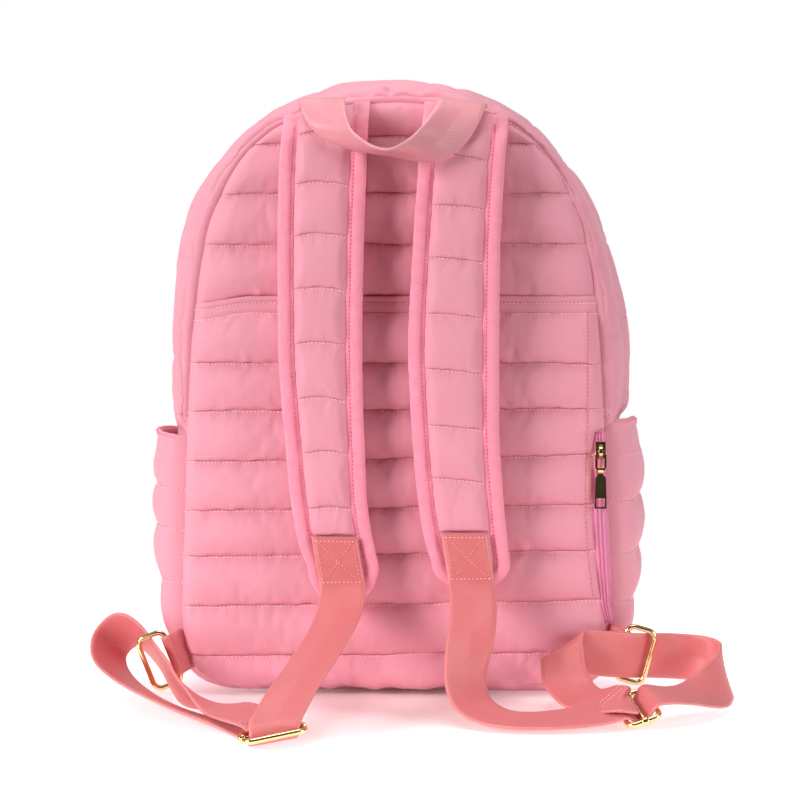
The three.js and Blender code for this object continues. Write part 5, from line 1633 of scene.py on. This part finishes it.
side, length, v, _ = arch(*MAIN_TAPE, MAIN_COLUMNS)
share = (v - MAIN_TAPE[0]) / (MAIN_TAPE[1] - MAIN_TAPE[0])
bulge = arch_bulge(v) * strip_share(side, length)
outer = gusset_place(side, length, v, bulge + COIL_RIDGE * ridge_rows(share, MAIN_RIDGES))
inner = gusset_place(side, length, v, bulge - TAPE)
finish_piece(wall("main_zip_tape", outer, inner, ZIP_TAPE), "main_zip", slot="zip_tape")


def softened(node, name, width, body):
    """A copy of a small solid with its edges rounded over."""
    work = bmesh.new()
    work.from_mesh(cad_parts[node].data)
    bmesh.ops.remove_doubles(work, verts=work.verts, dist=1e-5)
    bmesh.ops.dissolve_limit(work, angle_limit=0.01, verts=work.verts, edges=work.edges)
    work.verts.index_update()
    points = [tuple(v.co / MM) for v in work.verts]
    faces = [[v.index for v in face.verts] for face in work.faces]
    work.free()
    piece = make_piece(name, points, faces, GOLD)
    bevel = piece.modifiers.new("soft_edges", "BEVEL")
    bevel.width = width * MM
    bevel.segments = 2
    bevel.limit_method = "ANGLE"
    bevel.angle_limit = math.radians(BEVEL_ANGLE)
    bevel.harden_normals = True
    return finish_piece(piece, node, slot="gold_metal", body=body)


for node, name, width, body in SMALL_PARTS:
    softened(node, name, width, body)

# %% [markdown]
# ## Stitches
# Thousands of stitches follow the sewn lines, so they are a job for Geometry Nodes: the tree turns the
# lines into curves, spaces points along them, and sets one small rounded stitch on each point, turned
# along the line. The result is realized and kept as a plain mesh.

# %% Stitch tree
STITCH_INPUTS = {"Pitch": 3.1, "Length": 2.2, "Thread": 0.8}   # the tree's own values, in millimetres
STITCH_SIZES = (0.85, 1.1)      # smallest and largest share of the given size
STITCH_SEED = 3


def stitch_tree():
    """A tree that sets small rounded stitches along the edges of a mesh."""
    tree = bpy.data.node_groups.new("stitches", "GeometryNodeTree")
    tree.interface.new_socket("Lines", in_out="INPUT", socket_type="NodeSocketGeometry")
    for name, value in STITCH_INPUTS.items():
        socket = tree.interface.new_socket(name, in_out="INPUT", socket_type="NodeSocketFloat")
        socket.default_value = value * MM
    tree.interface.new_socket("Finish", in_out="INPUT", socket_type="NodeSocketMaterial")
    tree.interface.new_socket("Stitches", in_out="OUTPUT", socket_type="NodeSocketGeometry")
    given = tree.nodes.new("NodeGroupInput").outputs

    def node(kind, settings, **sockets):
        made = tree.nodes.new(kind)
        for key, value in settings.items():
            setattr(made, key, value)
        for key, value in sockets.items():
            target = made.inputs[key.replace("_", " ")]
            if isinstance(value, bpy.types.NodeSocket):
                tree.links.new(value, target)
            else:
                target.default_value = value
        return made.outputs

    curves = node("GeometryNodeMeshToCurve", {}, Mesh=given["Lines"])
    spaced = node("GeometryNodeResampleCurve", {"mode": "LENGTH"}, Curve=curves[0], Length=given["Pitch"])
    tangent = node("GeometryNodeInputTangent", {})
    turned = node("FunctionNodeAlignRotationToVector", {"axis": "Z"}, Vector=tangent[0])
    size = node("ShaderNodeCombineXYZ", {}, X=given["Thread"], Y=given["Thread"], Z=given["Length"])
    ball = node("GeometryNodeMeshUVSphere", {}, Segments=6, Rings=4, Radius=0.5)
    shade = node("GeometryNodeSetShadeSmooth", {}, Geometry=ball[0])
    vary = node("FunctionNodeRandomValue", {"data_type": "FLOAT"}, Seed=STITCH_SEED)
    vary[1].node.inputs[2].default_value = STITCH_SIZES[0]
    vary[1].node.inputs[3].default_value = STITCH_SIZES[1]
    scaled = node("ShaderNodeVectorMath", {"operation": "SCALE"}, Vector=size[0], Scale=vary[1])
    pose = {"Rotation": turned[0], "Scale": scaled[0]}
    placed = node("GeometryNodeInstanceOnPoints", {}, Points=spaced[0], Instance=shade[0], **pose)
    real = node("GeometryNodeRealizeInstances", {}, Geometry=placed[0])
    dressed = node("GeometryNodeSetMaterial", {}, Geometry=real[0], Material=given["Finish"])
    tree.links.new(dressed[0], tree.nodes.new("NodeGroupOutput").inputs[0])
    return tree


STITCHES = stitch_tree()


def grow(name, lines, tree, values):
    """Runs a tree over lines and keeps the result as a plain mesh."""
    points, edges = [], []
    for line in lines:
        start = len(points)
        points += (lifted(line) * MM).tolist()
        edges += [(i, i + 1) for i in range(start, len(points) - 1)]
    mesh = bpy.data.meshes.new(name)
    mesh.from_pydata(points, edges, [])
    source = bpy.data.objects.new(name, mesh)
    scene.collection.objects.link(source)
    modifier = source.modifiers.new("tree", "NODES")
    modifier.node_group = tree
    for item in tree.interface.items_tree:
        if item.in_out == "INPUT" and item.name in values:
            modifier[item.identifier] = values[item.name]
    made = bpy.data.meshes.new_from_object(source.evaluated_get(bpy.context.evaluated_depsgraph_get()))
    source.modifiers.clear()
    source.data = made
    return source


SEWING = [
    # piece, lines, pitch, length and thickness of a stitch, thread
    ("quilting_stitches", quilt_stitches, 2.7, 1.8, 0.9, THREAD),
    ("trimming_stitches", trim_stitches, 2.6, 1.8, 0.7, THREAD),
    ("binding_stitches", hot_stitches, 2.8, 1.9, 0.8, HOT_THREAD),
    ("webbing_stitches", tone_stitches, 2.6, 1.8, 0.8, TONE_THREAD),
]
for name, lines, pitch, long, thick, finish in SEWING:
    values = {"Pitch": pitch * MM, "Length": long * MM, "Thread": thick * MM, "Finish": finish}
    finish_piece(grow(name, lines, STITCHES, values))

# %% [markdown]
# ## Floor
# The floor is a white sheet. It glows more and more away from the bag, as if it were lit from below,
# so it runs into the white background without a line, and the soft shadow stays close to the bag.
# Near the bag its colour is painted pink, a painted bounce of the bag's light.

# %% Floor
FLOOR_LEFT, FLOOR_RIGHT, FLOOR_NEAR, FLOOR_FAR = -520, 520, -440, 450
GLOW = (0.05, 0.6)              # under the bag and away from it
GLOW_REACH = (40, 160)          # it grows between these distances
GLOW_Y = -90                    # from here
GLOW_SQUASH = 0.75              # to the sides it grows more slowly
PAINTED_PINK_BOUNCE = (0.93, 0.74, 0.74)  # near the bag the floor is painted pink, a painted bounce of the bag's light
FAR_TINT = (0.9, 0.9, 0.9)
floor_finish = Finish("white_floor", Roughness=0.7)
floor_finish.shader.inputs["Emission Strength"].default_value = 1.0
x, y, _ = floor_finish.axes(floor_finish.place())
beside = x * GLOW_SQUASH
behind = y - GLOW_Y
away = (beside * beside + behind * behind).math("SQRT", 0)
share = (away - GLOW_REACH[0]) * (1 / (GLOW_REACH[1] - GLOW_REACH[0]))
share = share.math("MAXIMUM", 0).math("MINIMUM", 1)
floor_finish.feed("Base Color", floor_finish.blend(share, PAINTED_PINK_BOUNCE, FAR_TINT))
floor_finish.feed("Emission Color", floor_finish.blend(share, [GLOW[0]] * 3, [GLOW[1]] * 3))
near_edge = [(FLOOR_LEFT, FLOOR_NEAR, 0), (FLOOR_RIGHT, FLOOR_NEAR, 0)]
corners = [*near_edge, (FLOOR_RIGHT, FLOOR_FAR, 0), (FLOOR_LEFT, FLOOR_FAR, 0)]
floor = make_piece("floor", corners, [(0, 1, 2, 3)], floor_finish.material)
print("floor:", FLOOR_RIGHT - FLOOR_LEFT, "mm wide")
